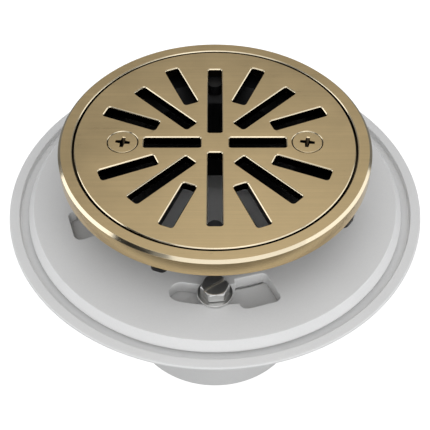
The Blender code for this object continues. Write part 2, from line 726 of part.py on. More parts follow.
def weep_channels(bm):
    """Shallow channels in the underside that let seepage run into the throat."""
    middle = (KEYHOLE_NARROW_TURN + KEYHOLE_WIDE_TO) / 2 + math.pi / BOLT_COUNT
    inner = COLLAR_TUBE_RADIUS - GAP
    outer = COLLAR_TUBE_RADIUS + WEEP_REACH
    half = WEEP_WIDTH / 2
    corners = [(inner, -half, 0), (outer, -half, half * 0.9), (outer, half, half * 0.9)]
    corners += [(inner, half, 0)]
    low = -COLLAR_THICKNESS - MM
    for angle in bolt_angles():
        for side in (-1, 1):
            outline = turned_to(rounded_outline(corners), angle + middle + side * WEEP_SPREAD)
            prism(bm, outline, low, -COLLAR_THICKNESS + WEEP_DEPTH)


def make_collar(parent):
    """White collar that clamps the shower's liner and carries the barrel."""
    bm = bmesh.new()
    collar_body(bm)
    collar = to_object(bm, "clamping_collar", WHITE_PLASTIC, parent=parent)
    keyholes = bmesh.new()
    collar_cuts(keyholes)
    boolean(collar, keyholes, "collar_keyholes", "DIFFERENCE")
    channels = bmesh.new()
    weep_channels(channels)
    boolean(collar, channels, "collar_weep_channels", "DIFFERENCE")


def hexagon(angle):
    """Reach of the hexagonal head at an angle about the bolt's axis."""
    sixth = math.pi / 3
    within = (angle - BOLT_HEX_TURN) % sixth - sixth / 2
    return BOLT_ACROSS_FLATS / 2 / math.cos(within)


def bolt_mesh():
    """Slotted hexagon-head bolt, standing on its washer, with height zero at the collar's top."""
    base = 2 * GAP + WASHER_THICKNESS
    top = base + BOLT_HEAD_HEIGHT

    def turned(angle):
        return hexagon(angle + BOLT_HEX_TURN)

    def shoulder(angle):
        return top - (turned(angle) - BOLT_HEAD_TOP_RADIUS) * 0.7

    bm = bmesh.new()
    outline = [
        (BOLT_RADIUS * 0.7, -BOLT_LENGTH),
        (BOLT_RADIUS, -BOLT_LENGTH + BOLT_RADIUS * 0.4),
        (BOLT_RADIUS, base),
        (turned, base),
        (turned, shoulder),
        (BOLT_HEAD_TOP_RADIUS, top),
        (BOLT_HEAD_TOP_RADIUS * 0.6, top + EDGE_BREAK),
    ]
    turned_solid(bm, outline, BOLT_FACETS)
    bolt = to_object(bm, "collar_bolt", STEEL)
    cutter = bmesh.new()
    reach, half = BOLT_ACROSS_FLATS, BOLT_SLOT_WIDTH / 2
    outline = [(-reach, -half), (reach, -half), (reach, half), (-reach, half)]
    slot = turned_to(outline, BOLT_SLOT_TURN - BOLT_HEX_TURN)
    prism(cutter, slot, top - BOLT_SLOT_DEPTH, top + MM)
    boolean(bolt, cutter, "collar_bolt_slot", "DIFFERENCE")
    mesh = baked(bolt)
    mesh.transform(Matrix.Rotation(BOLT_HEX_TURN, 4, "Z"))
    return mesh


def make_bolts(parent):
    """Clamping bolts and their washers, each washer just clear of the collar."""
    mesh = bolt_mesh()
    hole = BOLT_RADIUS + GAP
    for number, angle in enumerate(bolt_angles(), start=1):
        place = polar(BOLT_CIRCLE, angle)
        place_mesh(mesh, f"collar_bolt_{number}", STEEL, place, parent)
        bm = bmesh.new()
        low, high = GAP, GAP + WASHER_THICKNESS
        edge = WASHER_THICKNESS / 4
        outline = [(hole, low), (WASHER_RADIUS, low), (WASHER_RADIUS, high - edge)]
        outline += [(WASHER_RADIUS - edge, high), (hole, high)]
        turned_ring(bm, outline, SMALL)
        to_object(bm, f"bolt_washer_{number}", STEEL, place, parent)


# ---------------------------------------------------------------- base


def base_outline():
    """Closed outline of the base's wall, up its outside and down its inside."""
    hub_top = CONE_BOTTOM
    edge_low = FLANGE_TOP - FLANGE_EDGE - FLANGE_LAND
    slope = edge_low - FLANGE_UNDERSIDE
    outer_throat = THROAT_RADIUS + THROAT_WALL
    lower_wall = LOWER_THROAT_RADIUS + THROAT_WALL
    outside = [
        (HUB_RADIUS - HUB_CHAMFER, 0),
        (HUB_RADIUS, HUB_CHAMFER),
        (HUB_RADIUS, hub_top - STOP_LENGTH),
        (lower_wall, LOWER_THROAT_BOTTOM),
        (lower_wall, THROAT_BOTTOM - THROAT_STEP),
        (outer_throat, THROAT_BOTTOM),
        (outer_throat, FLANGE_UNDERSIDE),
        (FLANGE_RADIUS - slope, FLANGE_UNDERSIDE),
        (FLANGE_RADIUS, edge_low),
        (FLANGE_RADIUS, FLANGE_TOP - FLANGE_EDGE),
        (FLANGE_RADIUS - 0.3 * FLANGE_EDGE, FLANGE_TOP - 0.3 * FLANGE_EDGE),
        (FLANGE_RADIUS - FLANGE_EDGE, FLANGE_TOP),
    ]
    inside = [
        (RECESS_RADIUS, FLANGE_TOP),
        (RECESS_RADIUS, CLAMP_FACE),
        (THROAT_RADIUS, CLAMP_FACE),
        (THROAT_RADIUS, THROAT_BOTTOM),
        (LOWER_THROAT_RADIUS, THROAT_BOTTOM - THROAT_STEP),
        (LOWER_THROAT_RADIUS, LOWER_THROAT_BOTTOM),
        (STOP_RADIUS, CONE_BOTTOM),
        (STOP_RADIUS, SOCKET_DEPTH),
        (SOCKET_RADIUS, SOCKET_DEPTH),
        (SOCKET_RADIUS, HUB_CHAMFER),
        (SOCKET_RADIUS + HUB_CHAMFER, 0),
    ]
    return outside + inside


def base_additions(bm):
    """Bosses for the bolt inserts and ribs between the throat and the flange."""
    inside_flange = FLANGE_UNDERSIDE + FLANGE_THICKNESS / 3
    boss = BOLT_POCKET_RADIUS + BOLT_INSERT_COVER - 0.1 * MM
    boss_bottom = CLAMP_FACE - BOLT_LENGTH + COLLAR_THICKNESS - 4.3 * MM
    for angle in bolt_angles():
        centre = polar(BOLT_CIRCLE, angle)
        turned_solid(bm, [(boss, boss_bottom), (boss, inside_flange)], SMALL, centre.xy)
    inner = THROAT_RADIUS + THROAT_WALL / 2
    toe = THROAT_RADIUS + THROAT_WALL + 2 * MM
    outer = FLANGE_RADIUS - RIB_MARGIN
    low, shoulder = FLANGE_UNDERSIDE - RIB_HEIGHT, FLANGE_UNDERSIDE - 1.5 * MM
    profile = [(inner, low), (toe, low), (outer, shoulder), (outer, inside_flange)]
    profile += [(inner, inside_flange)]
    for k in range(RIB_COUNT):
        angle = 2 * math.pi * (k + 0.5) / RIB_COUNT
        across = Vector((-math.sin(angle), math.cos(angle), 0)) * RIB_THICKNESS / 2
        near = [bm.verts.new(polar(r, angle, z) - across) for r, z in profile]
        far = [bm.verts.new(polar(r, angle, z) + across) for r, z in profile]
        bridge(bm, near, far)
        bm.faces.new(near)
        bm.faces.new(far)


def base_pockets(bm):
    """Blind pockets that hold the bolt inserts."""
    bottom = CLAMP_FACE - BOLT_LENGTH + COLLAR_THICKNESS - 3.0 * MM
    for angle in bolt_angles():
        centre = polar(BOLT_CIRCLE, angle)
        outline = [(BOLT_POCKET_RADIUS, bottom), (BOLT_POCKET_RADIUS, CLAMP_FACE + MM)]
        turned_solid(bm, outline, SMALL, centre.xy)


def make_base():
    """White drain base: flange, throat and pipe hub in one moulding."""
    bm = bmesh.new()
    turned_ring(bm, base_outline(), FINE)
    base = to_object(bm, "drain_base", WHITE_PLASTIC)
    additions = bmesh.new()
    base_additions(additions)
    boolean(base, additions, "base_additions", "UNION")
    pockets = bmesh.new()
    base_pockets(pockets)
    boolean(base, pockets, "base_pockets", "DIFFERENCE")


def make_bolt_inserts():
    """Brass inserts moulded into the base, one under each bolt."""
    top = -GAP
    bottom = top - BOLT_INSERT_LENGTH
    for number, angle in enumerate(bolt_angles(), start=1):
        bm = bmesh.new()
        outline = [(BOLT_INSERT_RADIUS, bottom), (BOLT_INSERT_RADIUS, top)]
        outline += [(BOLT_HOLE_RADIUS, top), (BOLT_HOLE_RADIUS, bottom)]
        turned_ring(bm, outline, TINY)
        place = polar(BOLT_CIRCLE, angle, CLAMP_FACE)
        to_object(bm, f"bolt_insert_{number}", BRASS_PLAIN, place)


def main():
    """Builds the drain from the pipe hub up to the grate."""
    clear_scene()
    make_base()
    make_bolt_inserts()
    collar_level = level("collar_level", COLLAR_TOP)
    make_collar(collar_level)
    make_bolts(collar_level)
    ring_level = level("ring_level", RING_TOP)
    make_barrel(ring_level)
    make_gasket(ring_level)
    make_ring(ring_level)
    make_ring_screws(ring_level)
    make_screw_inserts(ring_level)
    make_grate(ring_level)
    make_grate_screws(ring_level)


main()
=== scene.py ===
"""Finished look of a round floor drain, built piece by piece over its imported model.

A brushed brass grate and trim ring sit on a black threaded barrel. The barrel screws through a
white clamping collar, which four slotted hexagon bolts hold down on a white drain base.
All lengths are metres, and heights are measured from the lower end of the pipe hub.
"""

from __future__ import annotations

import logging
import math
from collections.abc import Callable, Iterable, Sequence
from dataclasses import dataclass, field, replace
from enum import Enum

import bmesh
import bpy
from mathutils import Matrix, Vector


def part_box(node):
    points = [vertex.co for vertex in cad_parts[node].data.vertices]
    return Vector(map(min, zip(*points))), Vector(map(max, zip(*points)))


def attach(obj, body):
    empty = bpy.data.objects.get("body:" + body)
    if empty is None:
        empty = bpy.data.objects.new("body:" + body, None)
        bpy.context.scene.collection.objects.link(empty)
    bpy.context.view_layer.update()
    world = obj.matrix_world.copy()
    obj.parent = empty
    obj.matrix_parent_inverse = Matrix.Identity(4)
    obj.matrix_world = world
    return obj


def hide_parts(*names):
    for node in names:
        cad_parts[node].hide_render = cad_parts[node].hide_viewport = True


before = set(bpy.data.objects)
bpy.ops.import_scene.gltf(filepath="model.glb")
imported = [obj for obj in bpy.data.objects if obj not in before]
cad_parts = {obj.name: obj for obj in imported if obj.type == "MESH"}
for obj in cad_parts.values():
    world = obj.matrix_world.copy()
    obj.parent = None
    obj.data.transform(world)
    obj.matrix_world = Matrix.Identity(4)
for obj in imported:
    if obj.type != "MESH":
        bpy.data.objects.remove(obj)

LOG = logging.getLogger("floor_drain")
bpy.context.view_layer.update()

MM = 0.001
FULL_TURN = 2 * math.pi
FINE, MEDIUM, SMALL = 240, 144, 64  # points round a circle, by how large it is
CREASE = math.radians(38)  # edges sharper than this stay crisp
FACE_WEIGHT = 80  # how much large faces count in the shading
CLEARANCE = 0.3 * MM  # round a part in its hole
THREAD_LEAD = 2 * MM  # from the barrel's lower end to the start of its thread
CORE = 0.5 * MM  # radius of the flat end of a body that another one hides

MIDDLE_TONES = (0.34, 0.66)  # range of a noise that is spread over the colours
MIDDLE_GLOSS = (0.36, 0.64)  # range of a noise that is spread over the roughness
SIDE_TO_FLAT = (0.85, 0.98)  # how squarely a face looks up, from a side to a flat face
# faces that slope between a side and a flat face, the chamfers, get a painted highlight
SIDE_TO_CHAMFER = (0.4, 0.55)
CHAMFER_TO_FLAT = (0.85, 0.95)

Point = tuple[float, float]
Corner = tuple[float, float, float]
Reach = float | Callable[[float], float]
Loop = list[bmesh.types.BMVert]


# ------------------------------------------------------------------ outlines


def polar(radius: float, angle: float, height: float = 0.0) -> Vector:
    """The point at a radius, an angle about the axis and a height."""
    return Vector((radius * math.cos(angle), radius * math.sin(angle), height))


def direction(azimuth: float, elevation: float) -> Vector:
    """The unit vector at an azimuth and an elevation."""
    return polar(math.cos(elevation), azimuth, math.sin(elevation))


def turned(points: Iterable[Point], angle: float) -> list[Point]:
    """The points turned about the origin by an angle."""
    cos, sin = math.cos(angle), math.sin(angle)
    return [(x * cos - y * sin, x * sin + y * cos) for x, y in points]


def bar(
    near: float, far: float, half: float, near_round: float = 0.0, far_round: float = 0.0
) -> list[Corner]:
    """The corners of a bar along X, each with how far it is rounded."""
    ends = [(near, -half, near_round), (far, -half, far_round)]
    return [*ends, (far, half, far_round), (near, half, near_round)]


def ring_section(
    inner: float, outer: float, low: float, high: float, soft: float
) -> list[Corner]:
    """The corners of a flat ring's section, each rounded by the same radius."""
    return [(inner, low, soft), (outer, low, soft), (outer, high, soft), (inner, high, soft)]


def rounded(corners: Sequence[Corner], steps: int = 4, closed: bool = True) -> list[Point]:
    """Rounds each corner of an outline by its own radius.

    Args:
        corners: (x, y, corner radius) of each corner, in order.
        steps: straight pieces in each rounded corner.
        closed: whether the last corner joins the first. An open outline keeps its two ends.

    Returns:
        The points of the rounded outline.
    """
    points: list[Point] = []
    last = len(corners) - 1
    for i, (x, y, radius) in enumerate(corners):
        here = Vector((x, y))
        if radius <= 0 or (not closed and i in (0, last)):
            points.append((x, y))
            continue
        before = (Vector(corners[i - 1][:2]) - here).normalized()
        after = (Vector(corners[(i + 1) % len(corners)][:2]) - here).normalized()
        half = before.angle(after) / 2
        centre = here + (before + after).normalized() * radius / math.sin(half)
        start = here + before * radius / math.tan(half) - centre
        end = here + after * radius / math.tan(half) - centre
        for step in range(steps + 1):
            arm = start.slerp(end, step / steps).normalized() * radius
            points.append((centre.x + arm.x, centre.y + arm.y))
    return points


def edge_chamfer(size: float) -> list[Point]:
    """(distance out from the wall, depth below the face) up a chamfered edge."""
    soft = 0.12 * size
    return [(0.0, size + soft), (soft, size - soft), (size - soft, soft), (size + soft, 0.0)]


def edge_round(size: float, steps: int = 3) -> list[Point]:
    """(distance out from the wall, depth below the face) up a quarter-round edge."""
    turns = [math.pi / 2 * i / steps for i in range(steps + 1)]
    return [(size * (1 - math.cos(a)), size * (1 - math.sin(a))) for a in turns]


@dataclass(frozen=True)
class Thread:
    """A V thread with its crests and roots worn flat, one start, right-handed."""

    base: float
    crest: float
    pitch: float
    start: float
    turns: int
    form: tuple[Point, ...] = ((0.08, 0.16), (0.42, 0.84), (0.58, 0.84), (0.92, 0.16))
    run_out: float = 0.6
    steepness: float = 1.6

    def place(self, row: int, share: float) -> tuple[float, float]:
        """Finds one point of the thread's surface.

        Args:
            row: the row along the thread's form, counted on through every turn.
            share: how far round the turn the point is, from 0 to 1.

        Returns:
            The point's radius and height.
        """
        rows = len(self.form)
        across, depth = self.form[row % rows]
        travelled = row // rows + across + share
        ends = min(travelled, self.turns + 1 - travelled) - self.run_out
        fade = max(0.0, min(1.0, self.steepness * ends))
        reach = self.base + (self.crest - self.base) * fade * depth
        return reach, self.start + travelled * self.pitch


# ------------------------------------------------------------------ mesh building


class Body:
    """One closed body while its mesh is being built."""

    def __init__(self) -> None:
        """Starts with an empty mesh."""
        self.bm = bmesh.new()

    def circle(
        self, radius: Reach, height: Reach, count: int, centre: Point = (0.0, 0.0)
    ) -> Loop:
        """Adds a ring of points.

        Args:
            radius: the ring's radius, or a function that gives it for an angle.
            height: the ring's height, or a function that gives it for an angle.
            count: the number of points.
            centre: where the ring's middle is.

        Returns:
            The points, in order.
        """
        found = []
        for i in range(count):
            angle = FULL_TURN * i / count
            reach = radius(angle) if callable(radius) else radius
            rise = height(angle) if callable(height) else height
            point = polar(reach, angle, rise) + Vector((centre[0], centre[1], 0.0))
            found.append(self.bm.verts.new(point))
        return found

    def loop(self, points: Iterable[Point], height: float) -> Loop:
        """Adds the points of a flat outline at a height, and returns them."""
        return [self.bm.verts.new((x, y, height)) for x, y in points]

    def bridge(self, first: Loop, second: Loop) -> None:
        """Joins two rings by a band of faces.

        Args:
            first: one ring.
            second: the other ring, with as many points.
        """
        for i in range(len(first)):
            j = (i + 1) % len(first)
            self.bm.faces.new((first[i], first[j], second[j], second[i]))

    def stack(self, loops: Sequence[Loop]) -> None:
        """Joins each ring to the next."""
        for first, second in zip(loops, loops[1:]):
            self.bridge(first, second)

    def cap(self, ring: Loop) -> None:
        """Closes a ring by one flat face."""
        self.bm.faces.new(ring)

    def fill(self, loops: Sequence[Loop]) -> None:
        """Fills a flat area.

        Args:
            loops: the ring round the area, then the rings round its holes.
        """
        pairs = [pair for ring in loops for pair in zip(ring, ring[1:] + ring[:1])]
        edges = [self.bm.edges.get(pair) for pair in pairs]
        bmesh.ops.triangle_fill(self.bm, edges=edges, use_beauty=True, normal=(0, 0, 1))

    def tube(self, profile: Sequence[Point], count: int, centre: Point = (0.0, 0.0)) -> None:
        """Turns a closed profile of (radius, height) about the axis."""
        loops = [self.circle(r, z, count, centre) for r, z in profile]
        self.stack([*loops, loops[0]])

    def spindle(self, profile: Sequence[Point], count: int, centre: Point = (0.0, 0.0)) -> None:
        """Turns an open profile about an axis and closes both of its ends.

        Args:
            profile: (radius, height) of each ring, in order.
            count: the number of points in a ring.
            centre: where the axis is.
        """
        loops = [self.circle(r, z, count, centre) for r, z in profile]
        self.stack(loops)
        self.cap(loops[0])
        self.cap(loops[-1])

    def prism(self, outline: Sequence[Point], low: float, high: float) -> None:
        """Adds an upright prism.

        Args:
            outline: its outline.
            low: the height of its lower face.
            high: the height of its upper face.
        """
        loops = [self.loop(outline, low), self.loop(outline, high)]
        self.stack(loops)
        self.cap(loops[0])
        self.cap(loops[1])

    def thread(self, low: Loop, high: Loop, thread: Thread) -> None:
        """Joins a lower and an upper ring by a helical thread.

        Args:
            low: the ring below the thread.
            high: the ring above it, with as many points.
            thread: the thread's sizes.
        """
        count, step = len(low), len(thread.form)
        rows = step * thread.turns

        def point(row: int, i: int) -> bmesh.types.BMVert:
            """Adds the point of a row at one place round the turn, and returns it."""
            reach, height = thread.place(row, i / count)
            return self.bm.verts.new(polar(reach, FULL_TURN * i / count, height))

        grid = [[point(row, i) for i in range(count)] for row in range(rows + 1)]
        grid += [[point(rows + k, 0)] for k in range(1, step + 1)]

        def at(row: int, i: int) -> bmesh.types.BMVert:
            """The point of a row, which after one turn is a point of a later row."""
            return grid[row + step][0] if i == count else grid[row][i]

        for row in range(rows):
            for i in range(count):
                face = (at(row, i), at(row, i + 1), at(row + 1, i + 1), at(row + 1, i))
                self.bm.faces.new(face)
        for i in range(count - 1):
            self.bm.faces.new((low[i], low[i + 1], at(0, i + 1), at(0, i)))
        first_step = [grid[k][0] for k in range(step + 1)]
        self.bm.faces.new((low[-1], low[0], *first_step, at(0, count - 1)))
        for i in range(1, count):
            self.bm.faces.new((at(rows, i), at(rows, i + 1), high[(i + 1) % count], high[i]))
        last_step = [grid[rows + k][0] for k in range(step, 0, -1)]
        self.bm.faces.new((at(rows, 0), at(rows, 1), high[1], high[0], *last_step))

    def screw(
        self,
        tip: Sequence[Point],
        top: Sequence[tuple[Reach, Reach]],
        crest: float,
        pitch: float,
        count: int,
    ) -> None:
        """Adds a threaded shank between a turned tip and a head.

        Args:
            tip: (radius, height) of the tip's rings, from the lowest to the thread's root.
            top: (radius, height) of the rings above the thread, from its root up.
            crest: the thread's outer radius.
            pitch: the thread's rise in one turn.
            count: the number of points in each ring.
        """
        below = [self.circle(r, z, count) for r, z in tip]
        above = [self.circle(r, z, count) for r, z in top]
        self.stack(below)
        self.stack(above)
        self.cap(below[0])
        self.cap(above[-1])
        root, low = tip[-1]
        span = top[0][1] - low
        turns = max(1, math.floor(span / pitch) - 1)
        start = low + (span - (turns + 1) * pitch) / 2
        self.thread(below[-1], above[0], Thread(root, crest, pitch, start, turns))

    def mesh(self, name: str) -> bpy.types.Mesh:
        """Turns the faces outwards and finishes the mesh.

        Args:
            name: the mesh's name.

        Returns:
            The mesh. Nothing can be added to the body after this.
        """
        bmesh.ops.recalc_face_normals(self.bm, faces=self.bm.faces[:])
        mesh = bpy.data.meshes.new(name)
        self.bm.to_mesh(mesh)
        self.bm.free()
        return mesh


def add_object(name: str, mesh: bpy.types.Mesh) -> bpy.types.Object:
    """Adds an object to the scene.

    Args:
        name: the object's name.
        mesh: its mesh.

    Returns:
        The new object.
    """
    made = bpy.data.objects.new(name, mesh)
    bpy.context.scene.collection.objects.link(made)
    return made


def carved(mesh: bpy.types.Mesh, steps: Sequence[tuple[str, Body]]) -> bpy.types.Mesh:
    """Joins bodies to a mesh or cuts them out of it.

    Args:
        mesh: the mesh to start from. It is removed.
        steps: (UNION or DIFFERENCE, body) of each step, in order.

    Returns:
        A new mesh with the steps applied.
    """
    target = add_object(mesh.name, mesh)
    helpers = []
    for operation, body in steps:
        helper = add_object(mesh.name + "_tool", body.mesh(mesh.name + "_tool"))
        modifier = target.modifiers.new(operation, "BOOLEAN")
        modifier.operation = operation
        modifier.solver = "EXACT"
        modifier.object = helper
        helpers.append(helper)
    bpy.context.view_layer.update()
    graph = bpy.context.evaluated_depsgraph_get()
    made = bpy.data.meshes.new_from_object(target.evaluated_get(graph), depsgraph=graph)
    made.name = mesh.name
    for old in (target, *helpers):
        old_mesh = old.data
        bpy.data.objects.remove(old, do_unlink=True)
        bpy.data.meshes.remove(old_mesh)
    return made


def piece(
    name: str,
    mesh: bpy.types.Mesh,
    body: str,
    node: str,
    finish: "Finish",
    place: Matrix | None = None,
) -> bpy.types.Object:
    """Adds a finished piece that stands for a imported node.

    Args:
        name: the piece's name.
        mesh: its mesh, which pieces of one kind share.
        body: the moving body that it rides on.
        node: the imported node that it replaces.
        finish: its surface.
        place: where it goes, if its mesh isn't already in place.

    Returns:
        The new object.
    """
    mesh.shade_smooth()
    mesh.set_sharp_from_angle(angle=CREASE)
    if not mesh.materials:
        mesh.materials.append(finish.material())
    made = add_object(name, mesh)
    if place is not None:
        made.matrix_world = place
    flat = made.modifiers.new("even faces", "WEIGHTED_NORMAL")
    flat.keep_sharp = True
    flat.weight = FACE_WEIGHT
    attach(made, body)
    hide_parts(node)
    LOG.info("%s: %d faces on %s", name, len(mesh.polygons), body)
    return made


# ------------------------------------------------------------------ finishes


class Grain(Enum):
    """Fine texture of a surface, as noise scales per metre along X, Y and Z."""

    BRUSHED = (45.0, 4200.0, 4200.0)
    TURNED = (120.0, 120.0, 5200.0)
    MOULDED = (1500.0, 1500.0, 1500.0)
    MACHINED = (700.0, 700.0, 4000.0)
    RUBBED = (2600.0, 2600.0, 2600.0)


class Wiring:
    """Adds shader nodes to one material and joins them."""

    def __init__(self, name: str) -> None:
        """Makes a material with a shader and object coordinates.

        Args:
            name: the material's name.
        """
        self.made = bpy.data.materials.new(name)
        self.made.use_nodes = True
        self.tree = self.made.node_tree
        self.shader = self.tree.nodes["Principled BSDF"]
        self.coordinates = self.node("ShaderNodeTexCoord").outputs["Object"]

    def node(self, kind: str, **values: object) -> bpy.types.Node:
        """Adds a node.

        Args:
            kind: the node's type.
            values: the node's own settings by name.

        Returns:
            The new node.
        """
        made = self.tree.nodes.new(kind)
        for key, value in values.items():
            setattr(made, key, value)
        return made

    def join(self, source: bpy.types.NodeSocket, target: bpy.types.NodeSocket) -> None:
        """Joins an output to an input."""
        self.tree.links.new(source, target)

    def noise(
        self, scale: Sequence[float], detail: float = 3.0, roughness: float = 0.55
    ) -> bpy.types.NodeSocket:
        """Adds a stretched noise.

        Args:
            scale: noise scales per metre along X, Y and Z.
            detail: how many finer layers it has.
            roughness: how strong those layers are.

        Returns:
            The noise's value, about 0.5 on average.
        """
        mapping = self.node("ShaderNodeMapping")
        mapping.inputs["Scale"].default_value = tuple(scale)
        self.join(self.coordinates, mapping.inputs["Vector"])
        noise = self.node("ShaderNodeTexNoise")
        noise.inputs["Scale"].default_value = 1.0
        noise.inputs["Detail"].default_value = detail
        noise.inputs["Roughness"].default_value = roughness
        self.join(mapping.outputs["Vector"], noise.inputs["Vector"])
        return noise.outputs["Fac"]

    def spread(
        self, value: bpy.types.NodeSocket, source: Point, target: Point
    ) -> bpy.types.NodeSocket:
        """Maps one range of a value to another range and holds it there.

        Args:
            value: what to map.
            source: the lowest and highest value read.
            target: what they become.

        Returns:
            The mapped value.
        """
        made = self.node("ShaderNodeMapRange")
        self.join(value, made.inputs["Value"])
        ends = zip(("From Min", "From Max", "To Min", "To Max"), (*source, *target))
        for key, number in ends:
            made.inputs[key].default_value = number
        return made.outputs["Result"]

    def arithmetic(
        self, operation: str, first: bpy.types.NodeSocket, second: bpy.types.NodeSocket | float
    ) -> bpy.types.NodeSocket:
        """Adds a calculation.

        Args:
            operation: the calculation's name.
            first: its first value.
            second: its second value, or a number.

        Returns:
            The result.
        """
        made = self.node("ShaderNodeMath", operation=operation)
        self.join(first, made.inputs[0])
        if isinstance(second, float):
            made.inputs[1].default_value = second
        else:
            self.join(second, made.inputs[1])
        return made.outputs["Value"]

    def mix(
        self,
        share: bpy.types.NodeSocket,
        first: bpy.types.NodeSocket | Sequence[float],
        second: bpy.types.NodeSocket | Sequence[float],
    ) -> bpy.types.NodeSocket:
        """Mixes two colours.

        Args:
            share: how much of the second there is, from 0 to 1.
            first: a colour, or where one comes from.
            second: the other one.

        Returns:
            The mixed colour.
        """
        made = self.node("ShaderNodeMix", data_type="RGBA")
        self.join(share, made.inputs["Factor"])
        for value, socket in ((first, made.inputs[6]), (second, made.inputs[7])):
            if isinstance(value, bpy.types.NodeSocket):
                self.join(value, socket)
            else:
                socket.default_value = (*value, 1.0)
        return made.outputs[2]

    def facing_up(self) -> bpy.types.NodeSocket:
        """Measures how squarely the surface faces up or down.

        Returns:
            The measure, from 0 for a side to 1 for a flat face.
        """
        normal = self.node("ShaderNodeNewGeometry").outputs["Normal"]
        parts = self.node("ShaderNodeSeparateXYZ")
        self.join(normal, parts.inputs["Vector"])
        return self.arithmetic("ABSOLUTE", parts.outputs["Z"], 0.0)

    def bump(self, height: bpy.types.NodeSocket, strength: float, depth: float) -> None:
        """Roughens the surface.

        Args:
            height: where its texture comes from.
            strength: how much of the texture shows.
            depth: how deep it is, in metres.
        """
        made = self.node("ShaderNodeBump")
        made.inputs["Strength"].default_value = strength
        made.inputs["Distance"].default_value = depth
        self.join(height, made.inputs["Height"])
        self.join(made.outputs["Normal"], self.shader.inputs["Normal"])


@dataclass(frozen=True)
class Finish:
    """A surface: its colour, its gloss and the fine texture that it shows."""

    name: str
    slot: str
    colour: tuple[float, float, float]
    metallic: float
    roughness: tuple[float, float]
    grain: Grain
    bump: float
    depth: float = 0.02 * MM
    variation: float = 0.10
    blotch: float = 55.0
    specular: float = 0.5

    def shade(self, share: float) -> tuple[float, float, float]:
        """The colour, made lighter or darker by a share."""
        return tuple(min(1.0, c * (1 + share)) for c in self.colour)

    def texture(self, wiring: Wiring) -> bpy.types.NodeSocket:
        """The fine texture of the whole surface."""
        return wiring.noise(self.grain.value)

    def paint_light_and_shade(self, wiring: Wiring, colour: bpy.types.NodeSocket) -> bpy.types.NodeSocket:
        """Leaves the colour as it is, for a finish with no painted highlight and no painted
        shade.
        """
        return colour

    def polished(
        self, wiring: Wiring, roughness: bpy.types.NodeSocket
    ) -> bpy.types.NodeSocket:
        """Leaves the roughness as it is, for a finish that is even all round."""
        return roughness

    def material(self) -> bpy.types.Material:
        """The finish's material, made once.

        Returns:
            The material that every piece with this finish shares.
        """
        found = bpy.data.materials.get(self.name)
        if found:
            return found
        wiring = Wiring(self.name)
        shader = wiring.shader
        fine = self.texture(wiring)
        broad = wiring.noise((self.blotch,) * 3, detail=4.0)
        both = wiring.arithmetic("MULTIPLY_ADD", fine, 0.5)
        wiring.join(wiring.arithmetic("MULTIPLY", broad, 0.5), both.node.inputs[2])
        tone = wiring.spread(both, MIDDLE_TONES, (0.0, 1.0))
        colour = wiring.mix(tone, self.shade(-self.variation), self.shade(self.variation))
        # Painted highlight and painted shade, for the finishes that have them.
        colour = self.paint_light_and_shade(wiring, colour)
        wiring.join(colour, shader.inputs["Base Color"])
        gloss = wiring.spread(both, MIDDLE_GLOSS, self.roughness)
        wiring.join(self.polished(wiring, gloss), shader.inputs["Roughness"])
        wiring.bump(fine, self.bump, self.depth)
        shader.inputs["Metallic"].default_value = self.metallic
        shader.inputs["Specular IOR Level"].default_value = self.specular
        return wiring.made


@dataclass(frozen=True)
class BrushedFinish(Finish):
    """Metal brushed straight across its flat faces and polished round its sides."""

    side_grain: Grain = Grain.TURNED
    side_gloss: float = 0.45
    # painted shade: below these heights the colour turns to the dark colour below
    painted_shade_heights: tuple[float, float] | None = None
    painted_shade_colour: tuple[float, float, float] = (0.035, 0.026, 0.016)
    # painted highlight: a paler colour painted on the chamfers
    painted_highlight_colour: tuple[float, float, float] = (0.74, 0.645, 0.47)
    streak: tuple[float, float, float] = (9.0, 900.0, 900.0)

    def texture(self, wiring: Wiring) -> bpy.types.NodeSocket:
        """Brushing on the flat faces, fine turning lines on the sides.

        Args:
            wiring: the material's nodes.

        Returns:
            The height of the texture, about 0.5 on average.
        """
        fine = wiring.noise(self.grain.value, detail=2.0)
        streaks = wiring.noise(self.streak, detail=3.0)
        brushed = wiring.arithmetic("MULTIPLY_ADD", fine, 0.5)
        wiring.join(wiring.arithmetic("MULTIPLY", streaks, 0.5), brushed.node.inputs[2])
        side = wiring.noise(self.side_grain.value, detail=2.0)
        chosen = wiring.node("ShaderNodeMix", data_type="FLOAT")
        up = wiring.spread(wiring.facing_up(), SIDE_TO_FLAT, (0.0, 1.0))
        wiring.join(up, chosen.inputs["Factor"])
        wiring.join(side, chosen.inputs[2])
        wiring.join(brushed, chosen.inputs[3])
        return chosen.outputs[0]

    def paint_light_and_shade(self, wiring: Wiring, colour: bpy.types.NodeSocket) -> bpy.types.NodeSocket:
        """Paints the chamfers paler as a painted highlight, and darkens what lies below the
        painted shade's heights as painted shade.

        Args:
            wiring: the material's nodes.
            colour: the metal's colour before the painted highlight and the painted shade.

        Returns:
            The colour of the whole surface.
        """
        # Painted highlight: faces sloped like chamfers are mixed towards the paler colour.
        up = wiring.facing_up()
        sloped = wiring.spread(up, SIDE_TO_CHAMFER, (0.0, 1.0))
        flat = wiring.spread(up, CHAMFER_TO_FLAT, (1.0, 0.0))
        edge = wiring.arithmetic("MULTIPLY", sloped, flat)
        colour = wiring.mix(edge, colour, self.painted_highlight_colour)
        # Painted shade: what lies below the given heights is darkened.
        if not self.painted_shade_heights:
            return colour
        parts = wiring.node("ShaderNodeSeparateXYZ")
        wiring.join(wiring.coordinates, parts.inputs["Vector"])
        unshaded = wiring.spread(parts.outputs["Z"], self.painted_shade_heights, (0.0, 1.0))
        return wiring.mix(unshaded, self.painted_shade_colour, colour)

    def polished(
        self, wiring: Wiring, roughness: bpy.types.NodeSocket
    ) -> bpy.types.NodeSocket:
        """Makes the sides and edges glossier than the flat faces.

        Args:
            wiring: the material's nodes.
            roughness: the roughness of the flat faces.

        Returns:
            The roughness of the whole surface.
        """
        up = wiring.spread(wiring.facing_up(), SIDE_TO_FLAT, (self.side_gloss, 1.0))
        return wiring.arithmetic("MULTIPLY", roughness, up)


